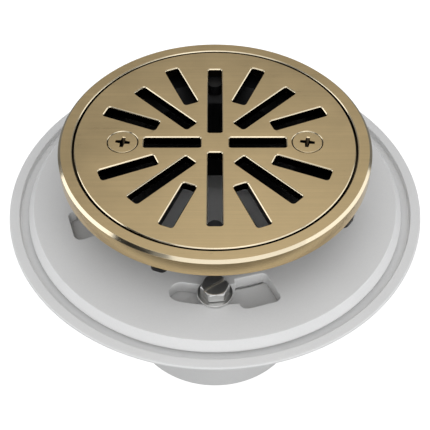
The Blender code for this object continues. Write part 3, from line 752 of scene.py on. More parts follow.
BRASS = BrushedFinish(
    name="brushed brass",
    slot="brushed_brass",
    colour=(0.74, 0.555, 0.295),
    metallic=1.0,
    roughness=(0.27, 0.37),
    grain=Grain.BRUSHED,
    bump=0.35,
    depth=0.012 * MM,
)
# Painted shade: the plate is darkened below just under its top face, which shows on its slot
# walls.
PLATE_BRASS = replace(BRASS, name="brushed brass plate", painted_shade_heights=(98.9 * MM, 99.3 * MM))
# Painted shade: a near-black brass for the ring's bore, standing in for the shade down in the
# narrow groove round the grate.
BORE_SHADE_BRASS = replace(
    BRASS,
    name="brass with painted bore shade",
    colour=(0.05, 0.038, 0.024),
    painted_highlight_colour=(0.06, 0.048, 0.032),
)
# Painted shade: the screw is darkened below just under its head's face, which shows as the walls
# of its cross recess.
SCREW_BRASS = replace(BRASS, name="brushed brass screw", painted_shade_heights=(-0.35 * MM, -0.1 * MM))
INSERT_BRASS = Finish(
    name="machined brass",
    slot="insert_brass",
    colour=(0.66, 0.50, 0.24),
    metallic=1.0,
    roughness=(0.28, 0.46),
    grain=Grain.MACHINED,
    bump=0.4,
)
STEEL = Finish(
    name="bright bolt steel",
    slot="bolt_steel",
    colour=(0.60, 0.60, 0.59),
    metallic=0.9,
    roughness=(0.28, 0.35),
    grain=Grain.MACHINED,
    bump=0.02,
    variation=0.05,
)
BLACK_SCREW = Finish(
    name="black screw",
    slot="black_screw",
    colour=(0.03, 0.03, 0.032),
    metallic=0.7,
    roughness=(0.32, 0.50),
    grain=Grain.MACHINED,
    bump=0.3,
)
BLACK_PLASTIC = Finish(
    name="black moulded plastic",
    slot="black_abs",
    colour=(0.009, 0.009, 0.0095),
    metallic=0.0,
    roughness=(0.34, 0.46),
    grain=Grain.MOULDED,
    bump=0.12,
    variation=0.2,
    specular=0.25,
)
RUBBER = Finish(
    name="gasket rubber",
    slot="gasket_rubber",
    colour=(0.022, 0.022, 0.022),
    metallic=0.0,
    roughness=(0.65, 0.85),
    grain=Grain.RUBBED,
    bump=0.4,
)
WHITE_PLASTIC = Finish(
    name="white moulded plastic",
    slot="white_pvc",
    colour=(0.80, 0.80, 0.797),
    metallic=0.0,
    roughness=(0.36, 0.50),
    grain=Grain.MOULDED,
    bump=0.10,
    variation=0.018,
    specular=0.45,
)


# ------------------------------------------------------------------ screws and inserts


@dataclass
class CountersunkScrew:
    """A countersunk cross-recess screw with its head's face at height zero, head up."""

    radius: float
    head_radius: float
    head_depth: float
    length: float
    pitch: float
    recess: float
    recess_width: float
    recess_depth: float
    recess_turn: float = 0.0
    rim: float = 0.12 * MM
    root_share: float = 0.8

    def mesh(self, name: str) -> bpy.types.Mesh:
        """Builds the screw.

        Args:
            name: the mesh's name.

        Returns:
            The screw's mesh, its shank threaded.
        """
        body = Body()
        root = self.radius * self.root_share
        tip = -self.length
        neck = -self.head_depth - 0.6 * self.pitch
        lower = [(root * 0.5, tip), (root * 0.9, tip + 0.3 * root), (root, tip + 0.5 * root)]
        cone = (self.radius, -self.head_depth, 0.0)
        head = [(self.head_radius, -self.rim, 0.0), (self.head_radius, 0.0, self.rim * 0.7)]
        face = rounded([cone, *head, (0.2 * MM, 0.0, 0.0)], 3, False)
        body.screw(lower, [(root, neck), *face], self.radius, self.pitch, SMALL)
        return carved(body.mesh(name), [("DIFFERENCE", self.cross())])

    def cross(self) -> Body:
        """Builds the tapering cross that is cut out of the head.

        Returns:
            The body to cut out.
        """
        arm, half = self.recess / 2, self.recess_width / 2
        quarter = [(arm, -half * 0.75, 0.1 * MM), (arm, half * 0.75, 0.1 * MM), (half, half, 0.0)]
        corners = [
            (*turned([(x, y)], k * math.pi / 2)[0], r) for k in range(4) for x, y, r in quarter
        ]
        outline = turned(rounded(corners, 2), self.recess_turn)
        body = Body()
        steps = [(1.04, 0.1 * MM), (1.0, 0.0), (0.72, -0.6), (0.40, -1.0)]
        loops = []
        for share, depth in steps:
            height = depth if depth > 0 else depth * self.recess_depth
            loops.append(body.loop([(x * share, y * share) for x, y in outline], height))
        body.stack(loops)
        body.cap(loops[0])
        body.cap(loops[-1])
        return body


@dataclass
class KnurledInsert:
    """A brass insert with a knurled outside, its upper face at height zero."""

    radius: float
    bore: float
    length: float
    teeth: int = 28
    tooth: float = 0.12 * MM

    def mesh(self, name: str) -> bpy.types.Mesh:
        """Builds the insert.

        Args:
            name: the mesh's name.

        Returns:
            The insert's mesh.
        """
        count = self.teeth * 4

        def knurl(angle: float) -> float:
            """Radius of the knurled wall at an angle."""
            return self.radius - self.tooth * (0.5 + 0.5 * math.cos(self.teeth * angle))

        edge = 0.35 * MM
        inside = self.radius - 2 * self.tooth
        groove = self.length * 0.45
        rows: list[tuple[Reach, float]] = [
            (self.bore + edge / 2, 0.0),
            (inside, 0.0),
            (knurl, -edge),
            (knurl, -groove),
            (inside, -groove - edge),
            (inside, groove + edge - self.length),
            (knurl, groove - self.length),
            (knurl, edge - self.length),
            (inside, -self.length),
            (self.bore + edge / 2, -self.length),
            (self.bore, edge / 2 - self.length),
            (self.bore, -edge / 2),
        ]
        body = Body()
        loops = [body.circle(reach, height, count) for reach, height in rows]
        body.stack([*loops, loops[0]])
        return body.mesh(name)


def centre_of(node: str) -> Vector:
    """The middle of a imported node's box."""
    low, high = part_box(node)
    return (low + high) / 2


def half_width(node: str) -> float:
    """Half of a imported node's width."""
    low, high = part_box(node)
    return (high.x - low.x) / 2


def depth_of(node: str) -> float:
    """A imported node's height from its lowest to its highest point."""
    low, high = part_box(node)
    return high.z - low.z


def top_of(node: str) -> float:
    """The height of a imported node's highest point."""
    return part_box(node)[1].z


def on_top(node: str) -> Matrix:
    """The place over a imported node's middle, at its top."""
    middle = centre_of(node)
    return Matrix.Translation((middle.x, middle.y, top_of(node)))


# ------------------------------------------------------------------ sub-assemblies


@dataclass
class Grate:
    """Round slotted plate and the two screws that hold it down."""

    thickness: float = 3.4 * MM
    edge: float = 0.36 * MM
    slot_width: float = 5.0 * MM
    slot_corner: float = 0.8 * MM
    slot_inner: float = 4.9 * MM
    slot_diagonal_inner: float = 11.5 * MM
    slot_between_inner: float = 21.7 * MM
    slot_margin: float = 9.85 * MM
    slot_between_margin: float = 6.7 * MM
    slot_to_screw: float = 2.1 * MM
    gap: float = CLEARANCE
    screw: CountersunkScrew = field(
        default_factory=lambda: CountersunkScrew(
            radius=2.2 * MM,
            head_radius=5.1 * MM,
            head_depth=2.6 * MM,
            length=12.7 * MM,
            pitch=1.058 * MM,
            recess=5.1 * MM,
            recess_width=1.6 * MM,
            recess_depth=2.2 * MM,
            recess_turn=math.radians(-9),
            rim=0.24 * MM,
        )
    )

    def __post_init__(self) -> None:
        """Reads the plate's size and the screws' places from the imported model."""
        self.radius = half_width("grate_plate")
        self.top = top_of("grate_plate")
        self.screws = {side: centre_of(f"grate_screw_{side}") for side in ("left", "right")}
        self.screw_circle = self.screws["right"].x

    def slots(self) -> list[tuple[float, float, float]]:
        """Lays out the slots.

        Returns:
            (angle, inner end, outer end) of each slot.
        """
        far = self.radius - self.slot_margin
        found = []
        for k in range(16):
            near, end = self.slot_inner, far
            if k % 8 == 0:
                end = self.screw_circle - self.screw.head_radius - self.slot_to_screw
            elif k % 2:
                near, end = self.slot_between_inner, self.radius - self.slot_between_margin
            elif k % 4:
                near = self.slot_diagonal_inner
            found.append((k * math.pi / 8, near, end))
        return found

    def slot_outline(self, slot: tuple[float, float, float], grow: float) -> list[Point]:
        """Outlines one slot.

        Args:
            slot: its angle, inner end and outer end.
            grow: how far the outline is grown.

        Returns:
            The outline.
        """
        angle, near, end = slot
        half = self.slot_width / 2 + grow
        corner = self.slot_corner + grow
        return turned(rounded(bar(near - grow, end + grow, half, corner, corner), 6), angle)

    def plate(self) -> bpy.types.Mesh:
        """Builds the plate with softened edges.

        Returns:
            The plate's mesh, in place.
        """
        body = Body()
        bottom = self.top - self.thickness
        edge = [(out, self.top - down) for out, down in edge_chamfer(self.edge)]
        lower = [(out, bottom + down) for out, down in reversed(edge_chamfer(self.edge / 3))]
        levels = lower + edge
        stacks = [[body.circle(self.radius - out, z, FINE) for out, z in levels]]
        for slot in self.slots():
            stacks.append([body.loop(self.slot_outline(slot, out), z) for out, z in levels])
        hole = self.screw.radius + self.gap
        seat = self.screw.head_radius + self.gap
        cone = bottom + self.thickness - self.screw.head_depth - self.gap
        rows = [(hole, bottom), (hole, cone), (seat, self.top - self.gap)]
        rows += [(seat, self.top - self.gap / 2), (seat + self.gap / 2, self.top)]
        for middle in self.screws.values():
            centre = (middle.x, middle.y)
            stacks.append([body.circle(r, z, SMALL, centre) for r, z in rows])
        for loops in stacks:
            body.stack(loops)
        body.fill([loops[-1] for loops in stacks])
        body.fill([loops[0] for loops in stacks])
        return body.mesh("slotted_plate")

    def build(self) -> None:
        """Adds the plate and its screws."""
        piece("slotted_plate", self.plate(), "grate", "grate_plate", PLATE_BRASS)
        mesh = self.screw.mesh("grate_screw")
        for side in self.screws:
            node = f"grate_screw_{side}"
            piece(f"plate_screw_{side}", mesh, f"screw_{side}", node, SCREW_BRASS, on_top(node))


@dataclass
class TrimRing:
    """Brass ring round the grate, its gasket and the small screws under it."""

    chamfer_width: float = 0.95 * MM
    chamfer_height: float = 1.0 * MM
    bore_edge: float = 0.32 * MM
    edge: float = 0.25 * MM
    ledge_top: float = 3.7 * MM
    ledge_bottom: float = 5.6 * MM
    ledge_width: float = 4.2 * MM
    gasket_edge: float = 0.2 * MM
    wall: float = 4.83 * MM
    hole_radius: float = 1.4 * MM
    hole_top: float = 2.7 * MM
    hole_cone: float = 0.5 * MM
    screw: CountersunkScrew = field(
        default_factory=lambda: CountersunkScrew(
            radius=1.1 * MM,
            head_radius=1.8 * MM,
            head_depth=0.9 * MM,
            length=4.9 * MM,
            pitch=0.7 * MM,
            recess=2.0 * MM,
            recess_width=0.5 * MM,
            recess_depth=0.8 * MM,
        )
    )

    def __post_init__(self) -> None:
        """Reads the ring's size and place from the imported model."""
        self.radius = half_width("strainer_ring")
        self.top = top_of("strainer_ring")
        self.height = depth_of("strainer_ring")
        self.screws = [f"ring_screw_{i}" for i in range(1, 5)]

    def profile(self) -> list[Point]:
        """The ring's section, with every edge softened.

        Returns:
            A closed profile of (radius, height).
        """
        bore = self.radius - self.wall
        ledge = bore - self.ledge_width
        small = self.edge / 2
        corners = [
            (bore, -self.ledge_top, small),
            (bore, -self.bore_edge, small),
            (bore + self.bore_edge, 0.0, small),
            (self.radius - self.chamfer_width, 0.0, small),
            (self.radius, -self.chamfer_height, small),
            (self.radius, -self.height, self.edge),
            (bore, -self.height, small),
            (bore, -self.ledge_bottom, small),
            (ledge, -self.ledge_bottom, small),
            (ledge, -self.ledge_top, small),
        ]
        return [(r, self.top + z) for r, z in rounded(corners, 3)]

    def build(self) -> None:
        """Adds the ring, its gasket and its screws."""
        body = Body()
        body.tube(self.profile(), FINE)
        holes = Body()
        for node in self.screws:
            middle = centre_of(node)
            end = self.top - self.hole_top
            rows = [(self.hole_radius, self.top - self.height - MM), (self.hole_radius, end)]
            rows.append((0.2 * MM, end + self.hole_cone))
            holes.spindle(rows, SMALL // 2, (middle.x, middle.y))
        ring = carved(body.mesh("trim_ring"), [("DIFFERENCE", holes)])
        ring.materials.append(BRASS.material())
        # The second material is painted shade: faces inside the bore, down in the groove round
        # the grate, get the near-black brass.
        ring.materials.append(BORE_SHADE_BRASS.material())
        groove = self.radius - self.wall + self.bore_edge / 2
        for face in ring.polygons:
            inside = face.center.xy.length < groove and face.center.z < self.top - self.bore_edge
            face.material_index = int(inside)
        piece("trim_ring", ring, "barrel", "strainer_ring", BRASS)
        self.build_gasket()
        mesh = self.screw.mesh("ring_screw")
        over = Matrix.Rotation(math.pi, 4, "X")
        for number, node in enumerate(self.screws, start=1):
            middle = centre_of(node)
            place = Matrix.Translation((middle.x, middle.y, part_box(node)[0].z)) @ over
            piece(f"ear_screw_{number}", mesh, "barrel", node, BLACK_SCREW, place)

    def build_gasket(self) -> None:
        """Adds the flat rubber ring under the ledge."""
        low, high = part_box("ring_gasket")
        inner = self.radius - self.wall - self.ledge_width + CLEARANCE
        body = Body()
        profile = ring_section(inner, half_width("ring_gasket"), low.z, high.z, self.gasket_edge)
        body.tube(rounded(profile, 3), MEDIUM)
        piece("rubber_ring", body.mesh("rubber_ring"), "barrel_height", "ring_gasket", RUBBER)


@dataclass
class ThreadedBarrel:
    """Black barrel with a funnel mouth, screw bosses, rests and ears."""

    thread_radius: float = 36.5 * MM
    thread_root: float = 35.0 * MM
    pitch: float = 3.175 * MM
    bore: float = 33.0 * MM
    neck_radius: float = 37.2 * MM
    neck_bottom: float = 15.0 * MM
    flange_top: float = 6.9 * MM
    flange_bottom: float = 9.4 * MM
    funnel_width: float = 5.5 * MM
    funnel_depth: float = 5.1 * MM
    boss_radius: float = 5.2 * MM
    pocket_radius: float = 3.8 * MM
    pocket_bottom: float = 13.6 * MM
    rest_width: float = 5.2 * MM
    rest_inner: float = 33.0 * MM
    rest_outer: float = 44.0 * MM
    rest_round: float = 0.97
    ear_width: float = 5.5 * MM
    ear_corner: float = 1.8 * MM
    ear_top: float = 7.1 * MM
    ear_bottom: float = 8.6 * MM
    ear_hole: float = 1.4 * MM
    ear_hole_mouth: float = 2.1 * MM
    ear_hole_cone: float = 0.9 * MM
    insert_bore: float = 2.5 * MM
    insert_teeth: int = 20
    edge: float = 0.3 * MM

    def __post_init__(self) -> None:
        """Reads the barrel's place and its neighbours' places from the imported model."""
        low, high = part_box("threaded_barrel")
        self.bottom = low.z
        self.top = high.z
        self.ring_top = top_of("strainer_ring")
        self.ear_reach = half_width("strainer_ring")
        self.flange_radius = half_width("ring_gasket")
        self.bosses = [centre_of(f"grate_screw_{side}") for side in ("left", "right")]
        self.ears = [centre_of(f"ring_screw_{i}") for i in range(1, 5)]

    def wall(self) -> Body:
        """The turned flange, neck and funnel, and the thread.

        Returns:
            The barrel before its bosses, rests and ears are joined on.
        """
        top, edge = self.ring_top, self.edge
        corners = [
            (self.thread_root, self.bottom + MM, 0.0),
            (self.thread_root - MM, self.bottom, edge),
            (self.bore, self.bottom, edge),
            (self.bore, top - self.flange_top - self.funnel_depth, 6 * edge),
            (self.bore + self.funnel_width, top - self.flange_top, edge),
            (self.flange_radius, top - self.flange_top, edge),
            (self.flange_radius, top - self.flange_bottom, edge),
            (self.neck_radius, top - self.flange_bottom, 2 * edge),
            (self.neck_radius, top - self.neck_bottom, edge),
            (self.thread_root, top - self.neck_bottom, 0.0),
        ]
        body = Body()
        loops = [body.circle(r, z, MEDIUM) for r, z in rounded(corners, 4, False)]
        body.stack(loops)
        start = self.bottom + THREAD_LEAD
        turns = math.floor((corners[-1][1] - start) / self.pitch) - 1
        thread = Thread(self.thread_root, self.thread_radius, self.pitch, start, turns)
        body.thread(loops[0], loops[-1], thread)
        return body

    def additions(self) -> Body:
        """The screw bosses, the rests under the grate and the ears under the ring.

        Returns:
            The bodies to join to the barrel.
        """
        body = Body()
        top = self.ring_top
        soft = self.edge
        low = top - self.neck_bottom + 0.4 * MM
        for middle in self.bosses:
            rim = [(self.boss_radius, low, 0.0), (self.boss_radius, self.top, soft)]
            profile = rounded([(CORE, low, 0.0), *rim, (CORE, self.top, 0.0)], 3, False)
            body.spindle(profile, SMALL, (middle.x, middle.y))
        half = self.rest_width / 2
        rest = bar(self.rest_inner, self.rest_outer, half, near_round=half * self.rest_round)
        for side in (-1, 1):
            outline = turned(rounded(rest, 8), side * math.pi / 2)
            body.prism(outline, top - self.flange_top - 0.8 * MM, self.top - 0.01 * MM)
        half = self.ear_width / 2
        inner = self.flange_radius - 2 * MM
        ear = bar(inner, self.ear_reach, half, far_round=self.ear_corner)
        for middle in self.ears:
            outline = turned(rounded(ear, 6), math.atan2(middle.y, middle.x))
            body.prism(outline, top - self.ear_bottom, top - self.ear_top)
        return body

    def pockets(self) -> Body:
        """The pockets for the inserts and the countersunk holes in the ears.

        Returns:
            The bodies to cut out of the barrel.
        """
        body = Body()
        top = self.ring_top
        for middle in self.bosses:
            rows = [(self.pocket_radius, top - self.pocket_bottom), (self.pocket_radius, top)]
            body.spindle(rows, SMALL, (middle.x, middle.y))
        for middle in self.ears:
            low = top - self.ear_bottom
            rows = [(self.ear_hole_mouth, low - MM), (self.ear_hole_mouth, low)]
            rows += [(self.ear_hole, low + self.ear_hole_cone), (self.ear_hole, top)]
            body.spindle(rows, SMALL // 2, (middle.x, middle.y))
        return body

    def build(self) -> None:
        """Adds the barrel and the inserts in its bosses."""
        steps = [("UNION", self.additions()), ("DIFFERENCE", self.pockets())]
        mesh = carved(self.wall().mesh("screw_barrel"), steps)
        piece("screw_barrel", mesh, "barrel", "threaded_barrel", BLACK_PLASTIC)
        node = "screw_insert_left"
        sizes = (half_width(node), self.insert_bore, depth_of(node), self.insert_teeth)
        shared = KnurledInsert(*sizes).mesh("boss_insert")
        for side in ("left", "right"):
            node = f"screw_insert_{side}"
            piece(f"boss_insert_{side}", shared, "barrel", node, INSERT_BRASS, on_top(node))


@dataclass
class ClampingCollar:
    """White collar with a threaded tube, a sloped rim and four keyholes."""

    thickness: float = 5.0 * MM
    rim_drop: float = 3.4 * MM
    rim_width: float = 2.2 * MM
    undercut: float = 1.9 * MM
    tube_wall: float = 2.2 * MM
    bore: float = 37.0 * MM
    thread_crest: float = 35.5 * MM
    pitch: float = 3.175 * MM
    edge: float = 0.35 * MM
    narrow: float = 4.0 * MM
    wide_in: float = 6.1 * MM
    wide_out: float = 6.7 * MM
    corner: float = 2.3 * MM
    tail: float = math.radians(-14.0)
    wide_from: float = math.radians(9.4)
    wide_to: float = math.radians(25.1)
    weep_width: float = 3.0 * MM
    weep_depth: float = 1.2 * MM
    weep_reach: float = 18.0 * MM
    weep_spread: float = math.radians(9)
    weep_round: float = 0.9
    weep_overlap: float = 0.3 * MM
    inner_corner: float = 0.5 * MM
    mouth_bevel: float = 0.6 * MM
    thread_margin: float = 0.2 * MM
    steps: int = 12

    def __post_init__(self) -> None:
        """Reads the collar's size and its bolts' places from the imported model."""
        low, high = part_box("clamping_collar")
        self.radius = half_width("clamping_collar")
        self.top = high.z
        self.bottom = low.z
        self.underside = high.z - self.thickness
        self.tube_radius = self.bore + self.tube_wall
        bolts = [centre_of(f"collar_bolt_{i}") for i in range(1, 5)]
        self.bolt_angles = [math.atan2(b.y, b.x) for b in bolts]
        self.bolt_circle = sum(b.xy.length for b in bolts) / len(bolts)

    def keyhole(self, angle: float, grow: float) -> list[Point]:
        """Outlines one keyhole.

        Args:
            angle: the angle of its bolt.
            grow: how far the outline is grown, to soften the keyhole's edge.

        Returns:
            The outline, a narrow curved slot that opens into a wide square end.
        """
        reach = self.bolt_circle
        start, end = self.wide_from * reach - grow, self.wide_to * reach + grow
        inner, outer = -self.wide_in - grow, self.wide_out + grow
        narrow, soft = self.narrow + grow, self.corner + grow
        tail = self.tail * reach
        inner_corner, straight = self.inner_corner, self.steps - 2
        corners = [(start, inner, inner_corner), (end, inner, soft), (end, outer, soft)]
        corners += [(start, outer, soft), (start, narrow, inner_corner)]
        run = tail - start
        corners += [(start + run * i / straight, narrow, 0.0) for i in range(1, straight + 1)]
        for i in range(1, self.steps):
            turn = math.pi * i / self.steps
            corners.append((tail - narrow * math.sin(turn), narrow * math.cos(turn), 0.0))
        corners += [(tail - run * i / straight, -narrow, 0.0) for i in range(straight)]
        corners.append((start, -narrow, inner_corner))
        around = [polar(reach + q, angle + s / reach) for s, q in rounded(corners, 5)]
        return [(p.x, p.y) for p in around]

    def outside(self, body: Body) -> list[Loop]:
        """Adds the rim, from the underside's edge up to the top face.

        Args:
            body: the collar's body.

        Returns:
            The rim's rings, from the lowest to the highest.
        """
        edge = self.edge
        rim = self.radius - self.rim_width
        corners = [
            (self.radius - self.undercut - 4 * edge, self.underside, 0.0),
            (self.radius - self.undercut, self.underside, edge / 3),
            (self.radius, self.top - self.rim_drop, edge),
            (rim, self.top, edge),
            (rim - 4 * edge, self.top, 0.0),
        ]
        profile = rounded(corners, 4, False)[1:-1]
        loops = [body.circle(r, z, FINE) for r, z in profile]
        body.stack(loops)
        return loops

    def inside(self, body: Body) -> list[Loop]:
        """Adds the bore's mouth, the thread and the tube's outer wall.

        Args:
            body: the collar's body.

        Returns:
            The mouth's ring in the top face and the tube's ring in the underside.
        """
        bevel, margin = self.mouth_bevel, self.thread_margin
        mouth = [(self.bore + bevel, self.top), (self.bore + bevel / 3, self.top - bevel / 3)]
        mouth.append((self.bore, self.top - bevel))
        foot = rounded(
            [
                (self.bore, self.bottom + bevel, 0.0),
                (self.bore + bevel, self.bottom, self.edge),
                (self.tube_radius - bevel, self.bottom, self.edge),
                (self.tube_radius, self.bottom + bevel, self.edge),
                (self.tube_radius, self.underside, 0.0),
            ],
            3,
            False,
        )
        upper = [body.circle(r, z, FINE) for r, z in mouth]
        lower = [body.circle(r, z, FINE) for r, z in foot]
        body.stack(upper)
        body.stack(lower)
        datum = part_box("threaded_barrel")[0].z + THREAD_LEAD + self.pitch / 2
        lowest = self.bottom + bevel + margin
        start = lowest + (datum - lowest) % self.pitch
        turns = math.floor((self.top - bevel - margin - start) / self.pitch) - 1
        thread = Thread(self.bore, self.thread_crest, self.pitch, start, turns)
        body.thread(lower[0], upper[-1], thread)
        return [upper[0], lower[-1]]

    def channels(self) -> Body:
        """The shallow drainage channels in the underside.

        Returns:
            The bodies to cut out of the collar.
        """
        middle = (self.tail + self.wide_to) / 2 + math.pi / 4
        inner = self.tube_radius - self.weep_overlap
        outer = self.tube_radius + self.weep_reach
        half = self.weep_width / 2
        outline = rounded(bar(inner, outer, half, far_round=half * self.weep_round), 6)
        body = Body()
        for angle in self.bolt_angles:
            for side in (-1, 1):
                points = turned(outline, angle + middle + side * self.weep_spread)
                body.prism(points, self.underside - MM, self.underside + self.weep_depth)
        return body

    def build(self) -> None:
        """Adds the collar."""
        body = Body()
        rim = self.outside(body)
        mouth, tube = self.inside(body)
        top, bottom = [rim[-1], mouth], [rim[0], tube]
        edge = edge_round(self.edge)
        levels = [(out, self.underside + down) for out, down in reversed(edge)]
        levels += [(out, self.top - down) for out, down in edge]
        for angle in self.bolt_angles:
            loops = [body.loop(self.keyhole(angle, out), z) for out, z in levels]
            body.stack(loops)
            top.append(loops[-1])
            bottom.append(loops[0])
        body.fill(top)
        body.fill(bottom)
        mesh = carved(body.mesh("screw_collar"), [("DIFFERENCE", self.channels())])
        piece("screw_collar", mesh, "collar", "clamping_collar", WHITE_PLASTIC)


@dataclass
class CollarBolts:
    """Slotted hexagon bolts with washers, one in each of the collar's keyholes."""

    across_flats: float = 8.7 * MM
    head_height: float = 3.6 * MM
    face_radius: float = 4.15 * MM
    shank: float = 3.0 * MM
    pitch: float = 1.27 * MM
    slot_width: float = 1.2 * MM
    slot_depth: float = 1.3 * MM
    hex_turn: float = math.radians(6)
    slot_turn: float = math.radians(36)
    dome: float = 0.3 * MM
    washer_edge: float = 0.22 * MM
    root_share: float = 0.82
    worn_corner: float = 0.982
    shoulder_slope: float = 0.7
    count: int = 120

    def __post_init__(self) -> None:
        """Works out the hexagon's reach at its corners."""
        self.corner = self.across_flats / math.sqrt(3)

    def flat(self, angle: float) -> float:
        """Reach of the hexagon, its corners a little worn.

        Args:
            angle: the angle about the bolt's axis.

        Returns:
            The distance from the axis to the hexagon's wall.
        """
        sixth = math.pi / 3
        within = (angle - self.hex_turn) % sixth - sixth / 2
        return min(self.across_flats / 2 / math.cos(within), self.corner * self.worn_corner)

    def bolt(self, length: float) -> bpy.types.Mesh:
        """Builds a bolt with height zero at the top of its dome.

        Args:
            length: the bolt's whole length.

        Returns:
            The bolt's mesh.
        """
        face = -self.dome
        base = face - self.head_height
        root = self.shank * self.root_share
        tip = -length
        soft = 0.12 * MM

        def shrunk(by: float) -> Reach:
            """The hexagon drawn in by a distance."""
            return lambda angle: self.flat(angle) - by

        def shoulder(angle: float) -> float:
            """Height of the turned chamfer where it meets the flats."""
            return face - (self.flat(angle) - self.face_radius) * self.shoulder_slope

        lower = [(root * 0.6, tip), (root * 0.95, tip + 0.3 * root), (root, tip + 0.5 * root)]
        neck = base - 0.5 * self.pitch
        rows: list[tuple[Reach, Reach]] = [
            (root, neck),
            (self.shank, base - 0.1 * MM),
            (self.shank, base),
            (shrunk(2 * soft), base),
            (shrunk(0.0), base + 2 * soft),
            (shrunk(0.0), lambda angle: shoulder(angle) - soft),
            (shrunk(soft * 0.6), lambda angle: shoulder(angle) + soft * 0.2),
            (self.face_radius + soft, face - 0.7 * soft),
            (self.face_radius - soft, face + 0.2 * soft),
        ]
        for share in (0.85, 0.65, 0.42, 0.2, 0.04):
            rise = self.dome * (1 - share**2)
            rows.append((self.face_radius * share, face + rise))
        body = Body()
        body.screw(lower, rows, self.shank, self.pitch, self.count)
        slot = Body()
        across = bar(-self.corner * 2, self.corner * 2, self.slot_width / 2)
        outline = turned(rounded(across), self.slot_turn)
        slot.prism(outline, -self.slot_depth, MM)
        return carved(body.mesh("hexagon_bolt"), [("DIFFERENCE", slot)])

    def washer(self, node: str) -> bpy.types.Mesh:
        """Builds a washer with height zero at its top.

        Args:
            node: a packed washer, for its size.

        Returns:
            The washer's mesh.
        """
        inner, outer = self.shank + CLEARANCE, half_width(node)
        corners = ring_section(inner, outer, -depth_of(node), 0.0, self.washer_edge)
        body = Body()
        body.tube(rounded(corners, 4), SMALL)
        return body.mesh("bolt_washer")

    def build(self) -> None:
        """Adds each bolt, its washer and the insert that it screws into."""
        bolt = self.bolt(depth_of("collar_bolt_1"))
        washer = self.washer("bolt_washer_1")
        sizes = (half_width("bolt_insert_1"), self.shank + CLEARANCE, depth_of("bolt_insert_1"))
        shared = KnurledInsert(*sizes).mesh("base_insert")
        for i in range(1, 5):
            names = (f"collar_bolt_{i}", f"bolt_washer_{i}", f"bolt_insert_{i}")
            piece(f"hexagon_bolt_{i}", bolt, f"bolt_{i}", names[0], STEEL, on_top(names[0]))
            piece(f"flat_washer_{i}", washer, f"washer_{i}", names[1], STEEL, on_top(names[1]))
            piece(f"base_insert_{i}", shared, "base", names[2], INSERT_BRASS, on_top(names[2]))


